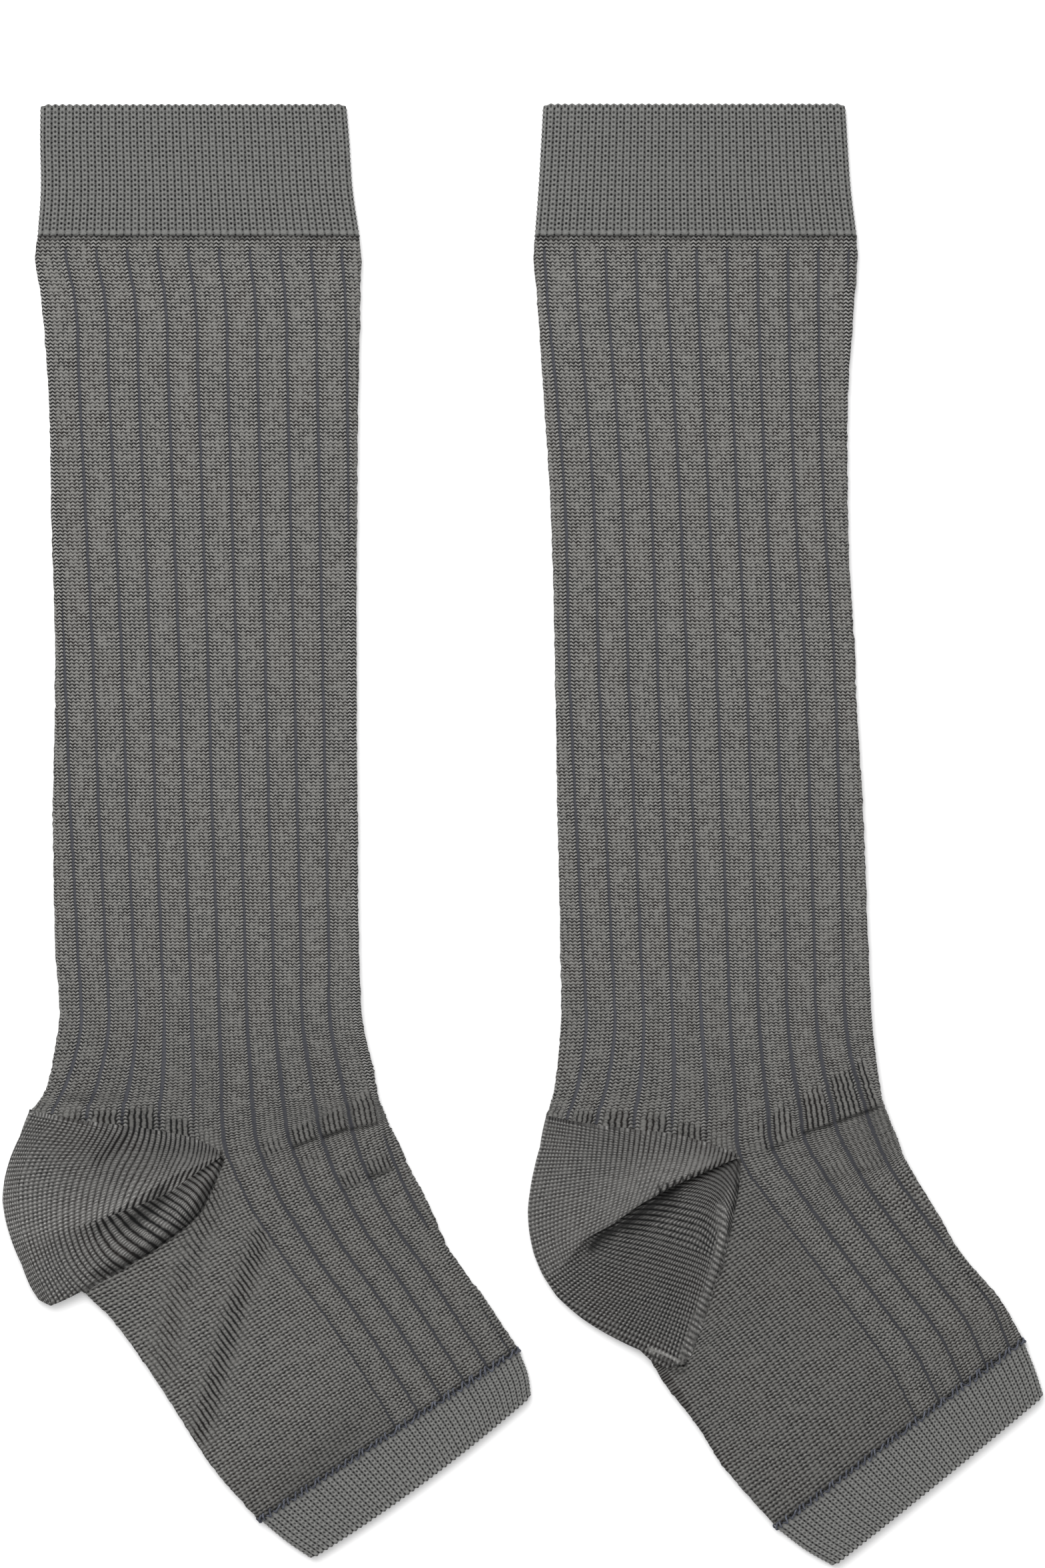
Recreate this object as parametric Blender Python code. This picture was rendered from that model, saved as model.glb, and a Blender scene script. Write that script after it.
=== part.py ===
# Pair of long knitted socks, laid flat side by side: rib leg, cuff band, folded heel pocket, open toe band.
# X runs to the right of the pair, Y up the legs towards the cuffs, Z up from the surface. Tables are in mm.
import math

import bmesh
import bpy

MM = 0.001
WALL = 1.1  # one thickness of knitted cloth
SLOT = 0.5  # air left between the upper and the lower layer
BODY = 2.0 * WALL + SLOT  # height of a laid-out tube without its ribs
SIDE = 0.5 * BODY  # radius of the rounded sides
GAP = 0.3  # space left where one piece meets the next
RIB_LIFT = 0.45  # how far a rib stands over the furrow beside it
FURROW_HALF = 0.8
FURROW_FLOOR = 0.3
EDGE_ROOM = SIDE + FURROW_HALF + 0.1  # no furrow is drawn nearer than this to a side
FRONT_FURROWS = 6  # from the gore tip to the front edge
HEEL_FURROWS = 5  # they end above the heel
SIDE_ANGLES = (-90.0, -135.0, 180.0, 135.0, 90.0)

# Sections across the leg and the foot, from the cuff to the toe seam. front_furrow is how far along the
# section from its left end the furrow lies that runs to the gore tip, and pitch is the space to the next one.
# heel_ribs is the share of their height that the ribs behind it have.
#   left_x, left_y, right_x, right_y, front_furrow, pitch, heel_ribs
LEFT_SECTIONS = (
    (-153.9, 189.4, -52.1, 189.4, 47.8, 9.73, 1.0),
    (-154.6, 186.0, -51.7, 186.0, 48.4, 9.73, 1.0),
    (-152.7, 169.6, -51.7, 169.6, 48.8, 9.52, 1.0),
    (-150.6, 142.1, -52.3, 142.1, 47.6, 9.43, 1.0),
    (-149.7, 104.1, -52.7, 104.1, 48.0, 9.28, 1.0),
    (-148.4, 53.4, -52.9, 53.4, 48.5, 9.09, 1.0),
    (-149.1, 2.6, -52.5, 2.6, 50.7, 8.97, 1.0),
    (-148.4, -35.4, -52.1, -35.4, 51.4, 8.85, 1.0),
    (-147.4, -62.9, -50.8, -59.9, 51.2, 8.79, 1.0),
    (-152.0, -81.9, -47.6, -74.5, 56.4, 9.39, 1.0),
    (-156.5, -88.6, -46.4, -81.9, 60.9, 9.78, 0.8),
    (-153.3, -115.7, -44.7, -86.9, 61.1, 10.12, 0.0),
    (-144.8, -136.8, -42.8, -92.0, 60.8, 9.78, 0.0),
    (-139.6, -144.2, -40.3, -97.1, 59.3, 9.56, 0.0),
    (-130.9, -152.9, -36.7, -105.5, 56.7, 9.11, 0.0),
    (-120.8, -166.4, -30.7, -117.0, 55.5, 8.75, 0.0),
    (-109.6, -183.3, -24.0, -131.7, 56.1, 8.66, 0.0),
    (-98.6, -200.2, -12.8, -146.1, 56.1, 8.64, 0.0),
    (-84.8, -215.9, -2.6, -161.5, 52.4, 8.73, 0.0),
)
RIGHT_SECTIONS = (
    (3.7, 189.4, 105.5, 189.4, 51.0, 9.69, 1.0),
    (3.3, 186.0, 105.8, 186.0, 51.5, 9.66, 1.0),
    (4.5, 169.6, 104.9, 169.6, 50.9, 9.54, 1.0),
    (6.2, 142.1, 103.0, 142.1, 50.6, 9.29, 1.0),
    (8.6, 104.1, 102.8, 104.1, 50.2, 9.11, 1.0),
    (10.0, 53.4, 104.9, 53.4, 51.2, 9.34, 1.0),
    (10.9, 2.6, 107.9, 2.6, 52.3, 9.27, 1.0),
    (11.7, -35.4, 109.3, -35.4, 53.0, 9.18, 1.0),
    (11.7, -62.9, 110.6, -59.9, 54.0, 9.14, 1.0),
    (9.4, -81.9, 112.1, -73.4, 57.5, 9.5, 1.0),
    (6.9, -91.4, 113.4, -81.9, 60.7, 10.0, 0.8),
    (11.5, -115.7, 115.9, -89.5, 58.8, 10.62, 0.0),
    (24.2, -143.2, 118.4, -95.8, 60.1, 9.77, 0.0),
    (39.0, -164.3, 121.8, -104.1, 60.0, 9.22, 0.0),
    (44.3, -173.2, 129.8, -117.4, 61.2, 9.14, 0.0),
    (54.8, -186.7, 138.9, -132.6, 60.6, 9.25, 0.0),
    (63.5, -200.2, 149.7, -145.3, 61.2, 9.46, 0.0),
    (79.2, -218.0, 157.7, -158.6, 56.0, 9.3, 0.0),
)

# Rows of a band, from the sock to its free edge: the two ends of the row and how far its middle bows out.
#   left_x, left_y, right_x, right_y, bow
LEFT_CUFF = (
    (-153.9, 189.7, -52.1, 189.7, 0.0),
    (-152.9, 204.0, -54.2, 204.0, 0.0),
    (-153.1, 221.0, -55.4, 221.0, 0.0),
    (-153.0, 230.8, -56.2, 230.9, 0.0),
)
RIGHT_CUFF = (
    (3.7, 189.7, 105.5, 189.7, 0.0),
    (4.8, 204.0, 103.7, 204.0, 0.0),
    (5.8, 221.0, 102.5, 221.0, 0.0),
    (6.3, 231.0, 101.9, 231.0, 0.0),
)
LEFT_TOE = (
    (-82.5, -217.9, -0.9, -164.4, 0.0),
    (-74.3, -224.3, 1.4, -171.2, 0.7),
    (-67.5, -228.9, 2.4, -177.2, 1.8),
)
RIGHT_TOE = (
    (81.0, -220.4, 159.0, -161.4, 0.0),
    (90.3, -227.0, 162.2, -169.8, 0.2),
    (97.9, -231.3, 164.7, -177.2, 0.4),
)

# Heels: the gore tip, then angles in degrees and lengths in mm as seen from it.
# Edges: share of the way out to the outline, angle of the edge on the leg, angle of the edge on the foot.
LEFT_GORE = (-95.4, -101.5)
LEFT_EDGES = (
    (0.03, 152.0, 252.0),
    (0.13, 152.0, 250.0),
    (0.3, 160.0, 247.0),
    (0.5, 164.6, 236.0),
    (0.7, 167.0, 229.5),
    (0.9, 167.6, 225.0),
    (1.0, 167.4, 224.0),
)
LEFT_OUTLINE = (
    (167.4, 62.4),
    (174.6, 64.5),
    (180.5, 67.2),
    (186.1, 69.5),
    (191.5, 71.2),
    (196.9, 71.8),
    (202.6, 72.1),
    (208.5, 72.3),
    (214.1, 73.4),
    (218.1, 73.6),
    (221.2, 71.9),
    (222.6, 67.0),
    (224.0, 61.8),
)
# Folds: share of the way from the leg edge to the foot edge, then the lift near the gore tip, half way out
# and far out.
LEFT_FOLDS = (
    (0.0, 0.1, 0.1, 0.0),
    (0.14, 0.1, 0.1, 0.0),
    (0.28, 0.2, 0.1, 0.0),
    (0.42, 0.5, 0.3, 0.1),
    (0.54, 1.2, 1.0, 0.2),
    (0.62, 1.7, 1.6, 0.3),
    (0.68, 1.1, 1.1, 0.4),
    (0.76, 1.4, 1.5, 0.6),
    (0.85, 1.9, 2.1, 0.9),
    (0.93, 1.8, 2.1, 1.0),
    (0.98, 1.3, 1.6, 0.9),
    (1.0, 0.6, 0.8, 0.5),
)
RIGHT_GORE = (67.9, -102.2)
RIGHT_EDGES = (
    (0.03, 156.0, 268.0),
    (0.13, 158.0, 267.0),
    (0.3, 161.0, 262.8),
    (0.5, 165.6, 260.6),
    (0.7, 167.8, 258.0),
    (0.9, 168.5, 256.4),
    (1.0, 168.4, 255.4),
)
RIGHT_OUTLINE = (
    (168.4, 61.8),
    (176.9, 62.8),
    (183.0, 64.6),
    (188.8, 66.6),
    (194.3, 68.7),
    (199.7, 70.2),
    (205.2, 71.5),
    (211.0, 72.2),
    (217.5, 72.2),
    (225.7, 70.8),
    (237.1, 68.5),
    (243.0, 67.6),
    (248.0, 69.4),
    (252.0, 69.8),
    (255.4, 68.0),
)
RIGHT_FOLDS = (
    (0.0, 0.1, 0.1, 0.0),
    (0.12, 0.2, 0.1, 0.0),
    (0.24, 0.4, 0.3, 0.0),
    (0.36, 1.0, 0.9, 0.1),
    (0.45, 1.7, 1.8, 0.1),
    (0.49, 1.9, 2.0, 0.1),
    (0.51, 0.5, 0.6, 0.1),
    (0.62, 0.7, 0.9, 0.3),
    (0.74, 1.0, 1.3, 0.8),
    (0.85, 1.4, 1.9, 1.5),
    (0.94, 1.5, 2.1, 1.8),
    (0.985, 1.0, 1.6, 1.3),
    (1.0, 0.4, 0.8, 0.6),
)
FOLD_STATIONS = (0.12, 0.55, 0.96)
TOP_SHARES = (0.03, 0.13, 0.3, 0.5, 0.7, 0.86)
RIM_ANGLES = (90.0, 45.0, 0.0, -45.0, -90.0)  # round the heel's outer edge, from the top to the underside

CUFF_COLUMNS = 42
TOE_COLUMNS = 42
COLUMN_LIFT = 0.35
SCALLOP = 0.45  # how far each column reaches past the gap beside it at a band's free edge
SEAM_LIFT = 0.5
SEAM_STITCHES = 30
CUTTER_LOW = -4.0
CUTTER_HIGH = 12.0


def clear_scene():
    for item in list(bpy.data.objects):
        bpy.data.objects.remove(item, do_unlink=True)


def new_collection(name):
    group = bpy.data.collections.new(name)
    bpy.context.scene.collection.children.link(group)
    return group


def cloth(name, colour, roughness):
    material = bpy.data.materials.new(name)
    material.use_nodes = True
    shader = material.node_tree.nodes["Principled BSDF"]
    shader.inputs["Base Color"].default_value = (*colour, 1.0)
    shader.inputs["Roughness"].default_value = roughness
    material.diffuse_color = (*colour, 1.0)
    return material


def between(table, at, column):
    """Value of a column of a table whose first column rises, at a place between its rows."""
    if at <= table[0][0]:
        return table[0][column]
    for low, high in zip(table[:-1], table[1:]):
        if at <= high[0]:
            share = (at - low[0]) / (high[0] - low[0])
            return low[column] + share * (high[column] - low[column])
    return table[-1][column]


def furrow_points(row, width):
    """Distances along a section and heights over the plain top, for its ribs and the furrows between them."""
    front, pitch, heel_ribs = row[4:7]
    points = []
    for index in range(-HEEL_FURROWS, FRONT_FURROWS):
        at = front + index * pitch
        depth = RIB_LIFT * (heel_ribs if index < 0 else 1.0)
        if not EDGE_ROOM < at < width - EDGE_ROOM:
            at = min(max(at, EDGE_ROOM), width - EDGE_ROOM)
            depth = 0.0
        points.append((at - FURROW_HALF, RIB_LIFT))
        points.append((at - FURROW_FLOOR, RIB_LIFT - depth))
        points.append((at + FURROW_FLOOR, RIB_LIFT - depth))
        points.append((at + FURROW_HALF, RIB_LIFT))
    return points


def column_points(count, width):
    """The same for a band of knitted columns."""
    points = []
    inner = width - 2.0 * SIDE
    for index in range(count):
        points.append((SIDE + inner * (index + 0.25) / count, COLUMN_LIFT))
        points.append((SIDE + inner * (index + 0.75) / count, 0.0))
    return points


def outer_profile(top, width):
    """Closed outline of a laid-out tube, from the left side over the top: distance along the section, height,
    and how far round it lies: 0 to 1 on the left side, to 2 on the top, to 3 on the right and to 4 below."""
    profile = []
    for k, angle in enumerate(SIDE_ANGLES):
        turn = math.radians(angle)
        profile.append((SIDE + SIDE * math.cos(turn), SIDE + SIDE * math.sin(turn), 0.25 * k))
    for at, lift in top:
        profile.append((at, BODY + lift, 1.0 + (at - SIDE) / (width - 2.0 * SIDE)))
    for k, angle in enumerate(reversed(SIDE_ANGLES)):
        turn = math.radians(angle)
        profile.append((width - SIDE - SIDE * math.cos(turn), SIDE + SIDE * math.sin(turn), 2.0 + 0.25 * k))
    profile.append((0.5 * width, 0.0, 3.5))
    return profile


def inner_profile(width):
    half = 0.5 * SLOT
    left = WALL + half
    right = width - left
    return [
        (left, WALL, 0.0),
        (left - half, WALL + half, 0.5),
        (left, WALL + SLOT, 1.0),
        (0.5 * width, WALL + SLOT, 1.5),
        (right, WALL + SLOT, 2.0),
        (right + half, WALL + half, 2.5),
        (right, WALL, 3.0),
        (0.5 * width, WALL, 3.5),
    ]


def place(row, profile, ahead):
    """Profile points in space. The row's bow moves its middle forward, ahead moves each point by its own."""
    left_x, left_y, right_x, right_y, bow = row[:5]
    width = math.hypot(right_x - left_x, right_y - left_y)
    along = ((right_x - left_x) / width, (right_y - left_y) / width)
    forward = (along[1], -along[0])
    points = []
    for (at, height, _), extra in zip(profile, ahead):
        share = min(max(at / width, 0.0), 1.0)
        push = 4.0 * bow * share * (1.0 - share) + extra
        x = left_x + along[0] * at + forward[0] * push
        y = left_y + along[1] * at + forward[1] * push
        points.append((x * MM, y * MM, height * MM))
    return points


def row_width(row):
    return math.hypot(row[2] - row[0], row[3] - row[1])


def close_end(faces, outer, outer_at, inner, inner_at, flip):
    """Faces of the flat end between an outer and an inner ring with unlike numbers of points."""
    o = 0
    i = 0
    while o < len(outer) or i < len(inner):
        next_outer = outer_at[o + 1] if o + 1 < len(outer) else 4.0
        next_inner = inner_at[i + 1] if i + 1 < len(inner) else 4.0
        a = outer[o % len(outer)]
        b = inner[i % len(inner)]
        if i >= len(inner) or (o < len(outer) and next_outer <= next_inner):
            face = (a, outer[(o + 1) % len(outer)], b)
            o += 1
        else:
            face = (a, inner[(i + 1) % len(inner)], b)
            i += 1
        faces.append(face[::-1] if flip else face)


def tube(name, rows, outer_profiles, inner_profiles, ahead, group, material):
    """An open tube of cloth from a row of sections. ahead moves the outer points of the last one forward."""
    level = [[0.0] * len(profile) for profile in outer_profiles[:-1]]
    outer_rings = [place(*parts) for parts in zip(rows, outer_profiles, level + [ahead])]
    inner_rings = [place(row, profile, [0.0] * len(profile)) for row, profile in zip(rows, inner_profiles)]
    verts = []
    faces = []
    ids = []
    for rings in (outer_rings, inner_rings):
        layer = []
        for ring in rings:
            layer.append(list(range(len(verts), len(verts) + len(ring))))
            verts.extend(ring)
        ids.append(layer)
    for layer, flip in zip(ids, (False, True)):
        for first, second in zip(layer[:-1], layer[1:]):
            count = len(first)
            for k in range(count):
                n = (k + 1) % count
                face = (first[k], first[n], second[n], second[k])
                faces.append(face[::-1] if flip else face)
    for end, flip in ((0, True), (-1, False)):
        outer_at = [point[2] for point in outer_profiles[end]]
        inner_at = [point[2] for point in inner_profiles[end]]
        close_end(faces, ids[0][end], outer_at, ids[1][end], inner_at, flip)
    return mesh_object(name, verts, faces, group, material)


def mesh_object(name, verts, faces, group, material):
    data = bpy.data.meshes.new(name)
    data.from_pydata(verts, [], faces)
    work = bmesh.new()
    work.from_mesh(data)
    bmesh.ops.triangulate(work, faces=work.faces[:])
    bmesh.ops.recalc_face_normals(work, faces=work.faces[:])
    work.to_mesh(data)
    work.free()
    item = bpy.data.objects.new(name, data)
    if material is not None:
        data.materials.append(material)
    group.objects.link(item)
    return item


def leg_and_foot(name, sections, group, material):
    rows = [(*row[:4], 0.0) for row in sections]
    outer = [outer_profile(furrow_points(row, row_width(row)), row_width(row)) for row in sections]
    inner = [inner_profile(row_width(row)) for row in sections]
    return tube(name, rows, outer, inner, [0.0] * len(outer[-1]), group, material)


def band(name, rows, columns, group, material):
    """A knitted band whose free edge is scalloped, one scallop to a column. Its last row is the free edge."""
    outer = [outer_profile(column_points(columns, row_width(row)), row_width(row)) for row in rows]
    inner = [inner_profile(row_width(row)) for row in rows]
    ahead = [0.0] * len(outer[-1])
    for k in range(columns):
        ahead[len(SIDE_ANGLES) + 2 * k] = SCALLOP
    return tube(name, rows, outer, inner, ahead, group, material)


def seam_ring(name, foot_row, toe_row, group, material):
    """The overlocked seam between foot and toe band, a low ridge with a bump to a pair of stitches."""
    rows = []
    outer = []
    inner = []
    for share, lift in ((0.0, 0.0), (0.5, 1.0), (1.0, 0.0)):
        row = [low + share * (high - low) for low, high in zip(foot_row, toe_row)]
        width = row_width(row)
        top = []
        for k in range(SEAM_STITCHES):
            at = SIDE + (width - 2.0 * SIDE) * (k + 0.5) / SEAM_STITCHES
            top.append((at, RIB_LIFT + lift * (SEAM_LIFT if k % 2 else 0.5 * SEAM_LIFT)))
        rows.append((*row, 0.0))
        outer.append(outer_profile(top, width))
        inner.append(inner_profile(width))
    return tube(name, rows, outer, inner, [0.0] * len(outer[-1]), group, material)


def shifted(row, toward, distance):
    """A row moved towards another one by a distance."""
    result = []
    for end in (0, 2):
        step = (toward[end] - row[end], toward[end + 1] - row[end + 1])
        size = math.hypot(*step)
        result.extend((row[end] + step[0] / size * distance, row[end + 1] + step[1] / size * distance))
    return tuple(result)


def fold_lift(folds, share, out):
    """Lift of the heel's top at a share of the way round and a share of the way out."""
    near, middle, far = (between(folds, share, column) for column in (1, 2, 3))
    ramp = ((FOLD_STATIONS[0], near), (FOLD_STATIONS[1], middle), (FOLD_STATIONS[2], far))
    return between(ramp, out, 1)


def heel_point(gore, edges, outline, share, out, inset):
    """Plan position at a share of the way round and of the way out, inset from the outline by a length."""
    first = between(edges, out, 1)
    last = between(edges, out, 2)
    angle = first + share * (last - first)
    rim_first, rim_last = edges[-1][1:3]
    even = outline[0][1]
    radius = even + out * (between(outline, rim_first + share * (rim_last - rim_first), 1) - even)
    distance = radius * out - inset
    turn = math.radians(angle)
    return gore[0] + distance * math.cos(turn), gore[1] + distance * math.sin(turn)


def heel(name, gore, edges, outline, folds, group, material):
    """The heel pocket: two layers joined along the outline, the upper one folded over towards the foot."""
    outer = []
    inner = []
    for fold in folds:
        share = fold[0]
        top = []
        hollow = []
        for out in TOP_SHARES:
            x, y = heel_point(gore, edges, outline, share, out, 0.0)
            top.append((x, y, BODY + fold_lift(folds, share, out)))
            hollow.append((x, y, WALL + SLOT))
        rim = fold_lift(folds, share, 1.0)
        for angle in RIM_ANGLES:
            turn = math.radians(angle)
            x, y = heel_point(gore, edges, outline, share, 1.0, SIDE - SIDE * math.cos(turn))
            lift = rim * 0.5 * (1.0 + math.sin(turn))
            top.append((x, y, SIDE + SIDE * math.sin(turn) + lift))
            half = 0.5 * SLOT
            x, y = heel_point(gore, edges, outline, share, 1.0, WALL + half - half * math.cos(turn))
            hollow.append((x, y, WALL + half + half * math.sin(turn)))
        for out in reversed(TOP_SHARES):
            x, y = heel_point(gore, edges, outline, share, out, 0.0)
            top.append((x, y, 0.0))
            hollow.append((x, y, WALL))
        outer.append([(x * MM, y * MM, z * MM) for x, y, z in top])
        inner.append([(x * MM, y * MM, z * MM) for x, y, z in hollow])
    return folded_sheet(name, outer, inner, group, material)


def folded_sheet(name, outer, inner, group, material):
    """A sheet with thickness: an outer and an inner grid of points, closed along all four edges."""
    rows = len(outer)
    columns = len(outer[0])
    verts = [point for grid in (outer, inner) for row in grid for point in row]
    back = rows * columns
    faces = []
    for r in range(rows - 1):
        for c in range(columns - 1):
            a = r * columns + c
            quad = (a, a + 1, a + columns + 1, a + columns)
            faces.append(quad)
            faces.append(tuple(back + k for k in reversed(quad)))
    edge = [r * columns for r in range(rows)]
    edge += [(rows - 1) * columns + c for c in range(1, columns)]
    edge += [r * columns + columns - 1 for r in range(rows - 2, -1, -1)]
    edge += list(range(columns - 2, 0, -1))
    for first, second in zip(edge, edge[1:] + edge[:1]):
        faces.append((first, second, back + second, back + first))
    return mesh_object(name, verts, faces, group, material)


def heel_loop(gore, edges, outline, folds):
    """The heel's plan outline, all the way round."""
    loop = [heel_point(gore, edges, outline, 0.0, out, 0.0) for out in TOP_SHARES]
    loop += [heel_point(gore, edges, outline, fold[0], 1.0, 0.0) for fold in folds]
    loop += [heel_point(gore, edges, outline, 1.0, out, 0.0) for out in reversed(TOP_SHARES)]
    loop += [heel_point(gore, edges, outline, fold[0], TOP_SHARES[0], 0.0) for fold in folds[-2:0:-1]]
    return loop


def grown(loop, distance):
    """A loop moved out by a distance, with its corners kept."""
    area = sum(a[0] * b[1] - b[0] * a[1] for a, b in zip(loop, loop[1:] + loop[:1]))
    side = 1.0 if area > 0.0 else -1.0
    result = []
    for before, point, after in zip(loop[-1:] + loop[:-1], loop, loop[1:] + loop[:1]):
        normals = []
        for first, second in ((before, point), (point, after)):
            size = math.dist(first, second)
            normals.append((side * (second[1] - first[1]) / size, -side * (second[0] - first[0]) / size))
        x = normals[0][0] + normals[1][0]
        y = normals[0][1] + normals[1][1]
        dot = x * normals[0][0] + y * normals[0][1]
        scale = distance / max(dot, 0.2)
        result.append((point[0] + x * scale, point[1] + y * scale))
    return result


def cutter(name, loop, group):
    """A prism through the cloth with the given plan."""
    low = [(x * MM, y * MM, CUTTER_LOW * MM) for x, y in loop]
    high = [(x * MM, y * MM, CUTTER_HIGH * MM) for x, y in loop]
    count = len(loop)
    faces = [tuple(range(count)), tuple(range(2 * count - 1, count - 1, -1))]
    for k in range(count):
        n = (k + 1) % count
        faces.append((k, n, count + n, count + k))
    item = mesh_object(name, low + high, faces, group, None)
    item.hide_render = True
    item.display_type = "WIRE"
    return item


def cut(item, tool):
    modifier = item.modifiers.new("heel_opening", "BOOLEAN")
    modifier.operation = "DIFFERENCE"
    modifier.solver = "EXACT"
    modifier.object = tool


def sock(side, shape, parts, tools, cloths):
    """One sock of the pair: leg and foot, heel, cuff band, toe band and the seam of the toe band."""
    sections, cuff_rows, toe_rows, *heel_shape = shape
    leg = leg_and_foot(side + "_leg_foot", sections, parts, cloths["rib"])
    opening = grown(heel_loop(*heel_shape), GAP)
    cut(leg, cutter(side + "_heel_cutter", opening, tools))
    heel(side + "_heel", *heel_shape, parts, cloths["heel"])
    band(side + "_cuff", cuff_rows, CUFF_COLUMNS, parts, cloths["band"])
    band(side + "_toe_band", toe_rows, TOE_COLUMNS, parts, cloths["band"])
    start = shifted(sections[-1], toe_rows[0], GAP)
    end = shifted(toe_rows[0], sections[-1], GAP)
    seam_ring(side + "_toe_seam", start, end, parts, cloths["seam"])


LEFT = (LEFT_SECTIONS, LEFT_CUFF, LEFT_TOE, LEFT_GORE, LEFT_EDGES, LEFT_OUTLINE, LEFT_FOLDS)
RIGHT = (RIGHT_SECTIONS, RIGHT_CUFF, RIGHT_TOE, RIGHT_GORE, RIGHT_EDGES, RIGHT_OUTLINE, RIGHT_FOLDS)

clear_scene()
PARTS = new_collection("pair_of_long_socks")
TOOLS = new_collection("cutters")
CLOTHS = {
    "rib": cloth("grey_rib_knit", (0.19, 0.185, 0.17), 0.95),
    "heel": cloth("grey_plain_knit", (0.17, 0.165, 0.15), 0.95),
    "band": cloth("grey_eyelet_band_knit", (0.21, 0.205, 0.19), 0.95),
    "seam": cloth("slate_overlock_thread", (0.07, 0.075, 0.1), 0.9),
}
for side, shape in (("left", LEFT), ("right", RIGHT)):
    sock(side, shape, PARTS, TOOLS, CLOTHS)
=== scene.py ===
# Pair of long knitted socks, laid flat side by side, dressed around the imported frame.
# X runs to the right of the pair, Y up the legs and Z up from the surface. Sizes are in mm until a mesh is
# made of them.
import math

import bmesh
import bpy
import numpy as np
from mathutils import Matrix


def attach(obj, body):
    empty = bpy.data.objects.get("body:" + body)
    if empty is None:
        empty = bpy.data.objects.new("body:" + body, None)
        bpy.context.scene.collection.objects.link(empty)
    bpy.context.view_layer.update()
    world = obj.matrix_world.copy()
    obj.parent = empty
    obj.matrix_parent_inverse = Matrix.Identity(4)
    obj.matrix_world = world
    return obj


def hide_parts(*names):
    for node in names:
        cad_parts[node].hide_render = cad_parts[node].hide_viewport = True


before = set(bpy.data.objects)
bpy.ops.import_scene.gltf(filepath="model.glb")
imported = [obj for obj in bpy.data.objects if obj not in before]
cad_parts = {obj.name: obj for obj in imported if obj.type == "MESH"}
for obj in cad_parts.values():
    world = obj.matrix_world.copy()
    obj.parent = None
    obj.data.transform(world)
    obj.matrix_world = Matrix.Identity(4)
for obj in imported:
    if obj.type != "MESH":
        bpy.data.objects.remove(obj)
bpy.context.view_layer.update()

# The cuffs. A real one is a broad elastic band, knitted first, in narrow columns with a row of tiny eyelets
# down each. It is two walls of cloth laid flat, and its edge at the top ends in small scallops.
MM = 0.001
WALL = 1.1  # one thickness of the cloth
SLOT = 0.5  # air left between the upper and the lower wall
BODY = 2.0 * WALL + SLOT
SIDE = 0.5 * BODY
SIDE_TURNS = np.radians((-68.0, -45.0, -22.0, 0.0, 22.0, 45.0, 68.0))
ROLL_TURNS = np.radians((30.0, 60.0, 90.0, 120.0, 150.0, 178.0))  # round a wall's edge, outside to inside
LINING_COLUMNS = 9
LINING_ROOM = 1.4  # from a tube's end to the first row of its lining
LINING_STEP = 9.0
LINING_KNIT = np.array([0.5, 0.5, 0.5])
CUFF_WALES = 84  # across the laid-out cuff, two to a column
CUFF_WALE = 1.19
CUFF_ROW = 1.53
CUFF_COLUMN_LIFT = 0.32
CUFF_SCALLOP = 0.6
SCALLOP_ROUNDING = 0.7  # below 1 the scallops are broader than a plain wave
SCALLOP_ROWS = 0.9  # how many rows of the edge follow the scallops
PLAIN_ROW_BUMP = 0.12
JOIN_ROWS = 0.6  # how many rows the uneven join to the sock reaches into
EYELET_DEPTH = 0.6
EYELET_REACH = 0.32
ROW_STEPS = 4  # points to a row of the knit
TOP_STEPS = 3  # points to a wale on the upper wall
LOW_STEPS = 2  # points to a wale on the lower wall
# Rows: left_x, left_y, right_x, right_y, bow. The first one meets the leg.
CUFFS = {
    "left": (
        (-153.9, 189.9, -52.1, 189.9, 0.0),
        (-152.9, 204.0, -54.2, 204.0, 0.0),
        (-153.1, 221.0, -55.4, 221.0, 0.0),
        (-153.0, 230.5, -56.2, 230.6, 0.0),
    ),
    "right": (
        (3.7, 189.9, 105.5, 189.9, 0.0),
        (4.8, 204.0, 103.7, 204.0, 0.0),
        (5.8, 221.0, 102.5, 221.0, 0.0),
        (6.3, 230.7, 101.9, 230.7, 0.0),
    ),
}


def curve_through(stations, values, at):
    """Values at any stations, on a smooth curve through the given ones."""
    stations = np.asarray(stations, float)
    values = np.asarray(values, float)
    slopes = np.gradient(values, stations, axis=0)
    low = np.clip(np.searchsorted(stations, at, side="right") - 1, 0, len(stations) - 2)
    span = (stations[low + 1] - stations[low]).reshape(-1, *[1] * (values.ndim - 1))
    t = (np.asarray(at, float) - stations[low]).reshape(span.shape) / span
    start = (2.0 * t**3 - 3.0 * t**2 + 1.0) * values[low] + (t**3 - 2.0 * t**2 + t) * span * slopes[low]
    end = (3.0 * t**2 - 2.0 * t**3) * values[low + 1] + (t**3 - t**2) * span * slopes[low + 1]
    return start + end


def smooth(value, low, high):
    """0 below low, 1 above high, and an even swing between."""
    t = np.clip((value - low) / (high - low), 0.0, 1.0)
    return t * t * (3.0 - 2.0 * t)


def row_stations(rows):
    """How far down the piece each row lies, along the middle."""
    rows = np.asarray(rows, float)
    middle = 0.5 * (rows[:, 0:2] + rows[:, 2:4])
    steps = np.linalg.norm(np.diff(middle, axis=0), axis=1)
    return np.concatenate([[0.0], np.cumsum(steps)])


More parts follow.
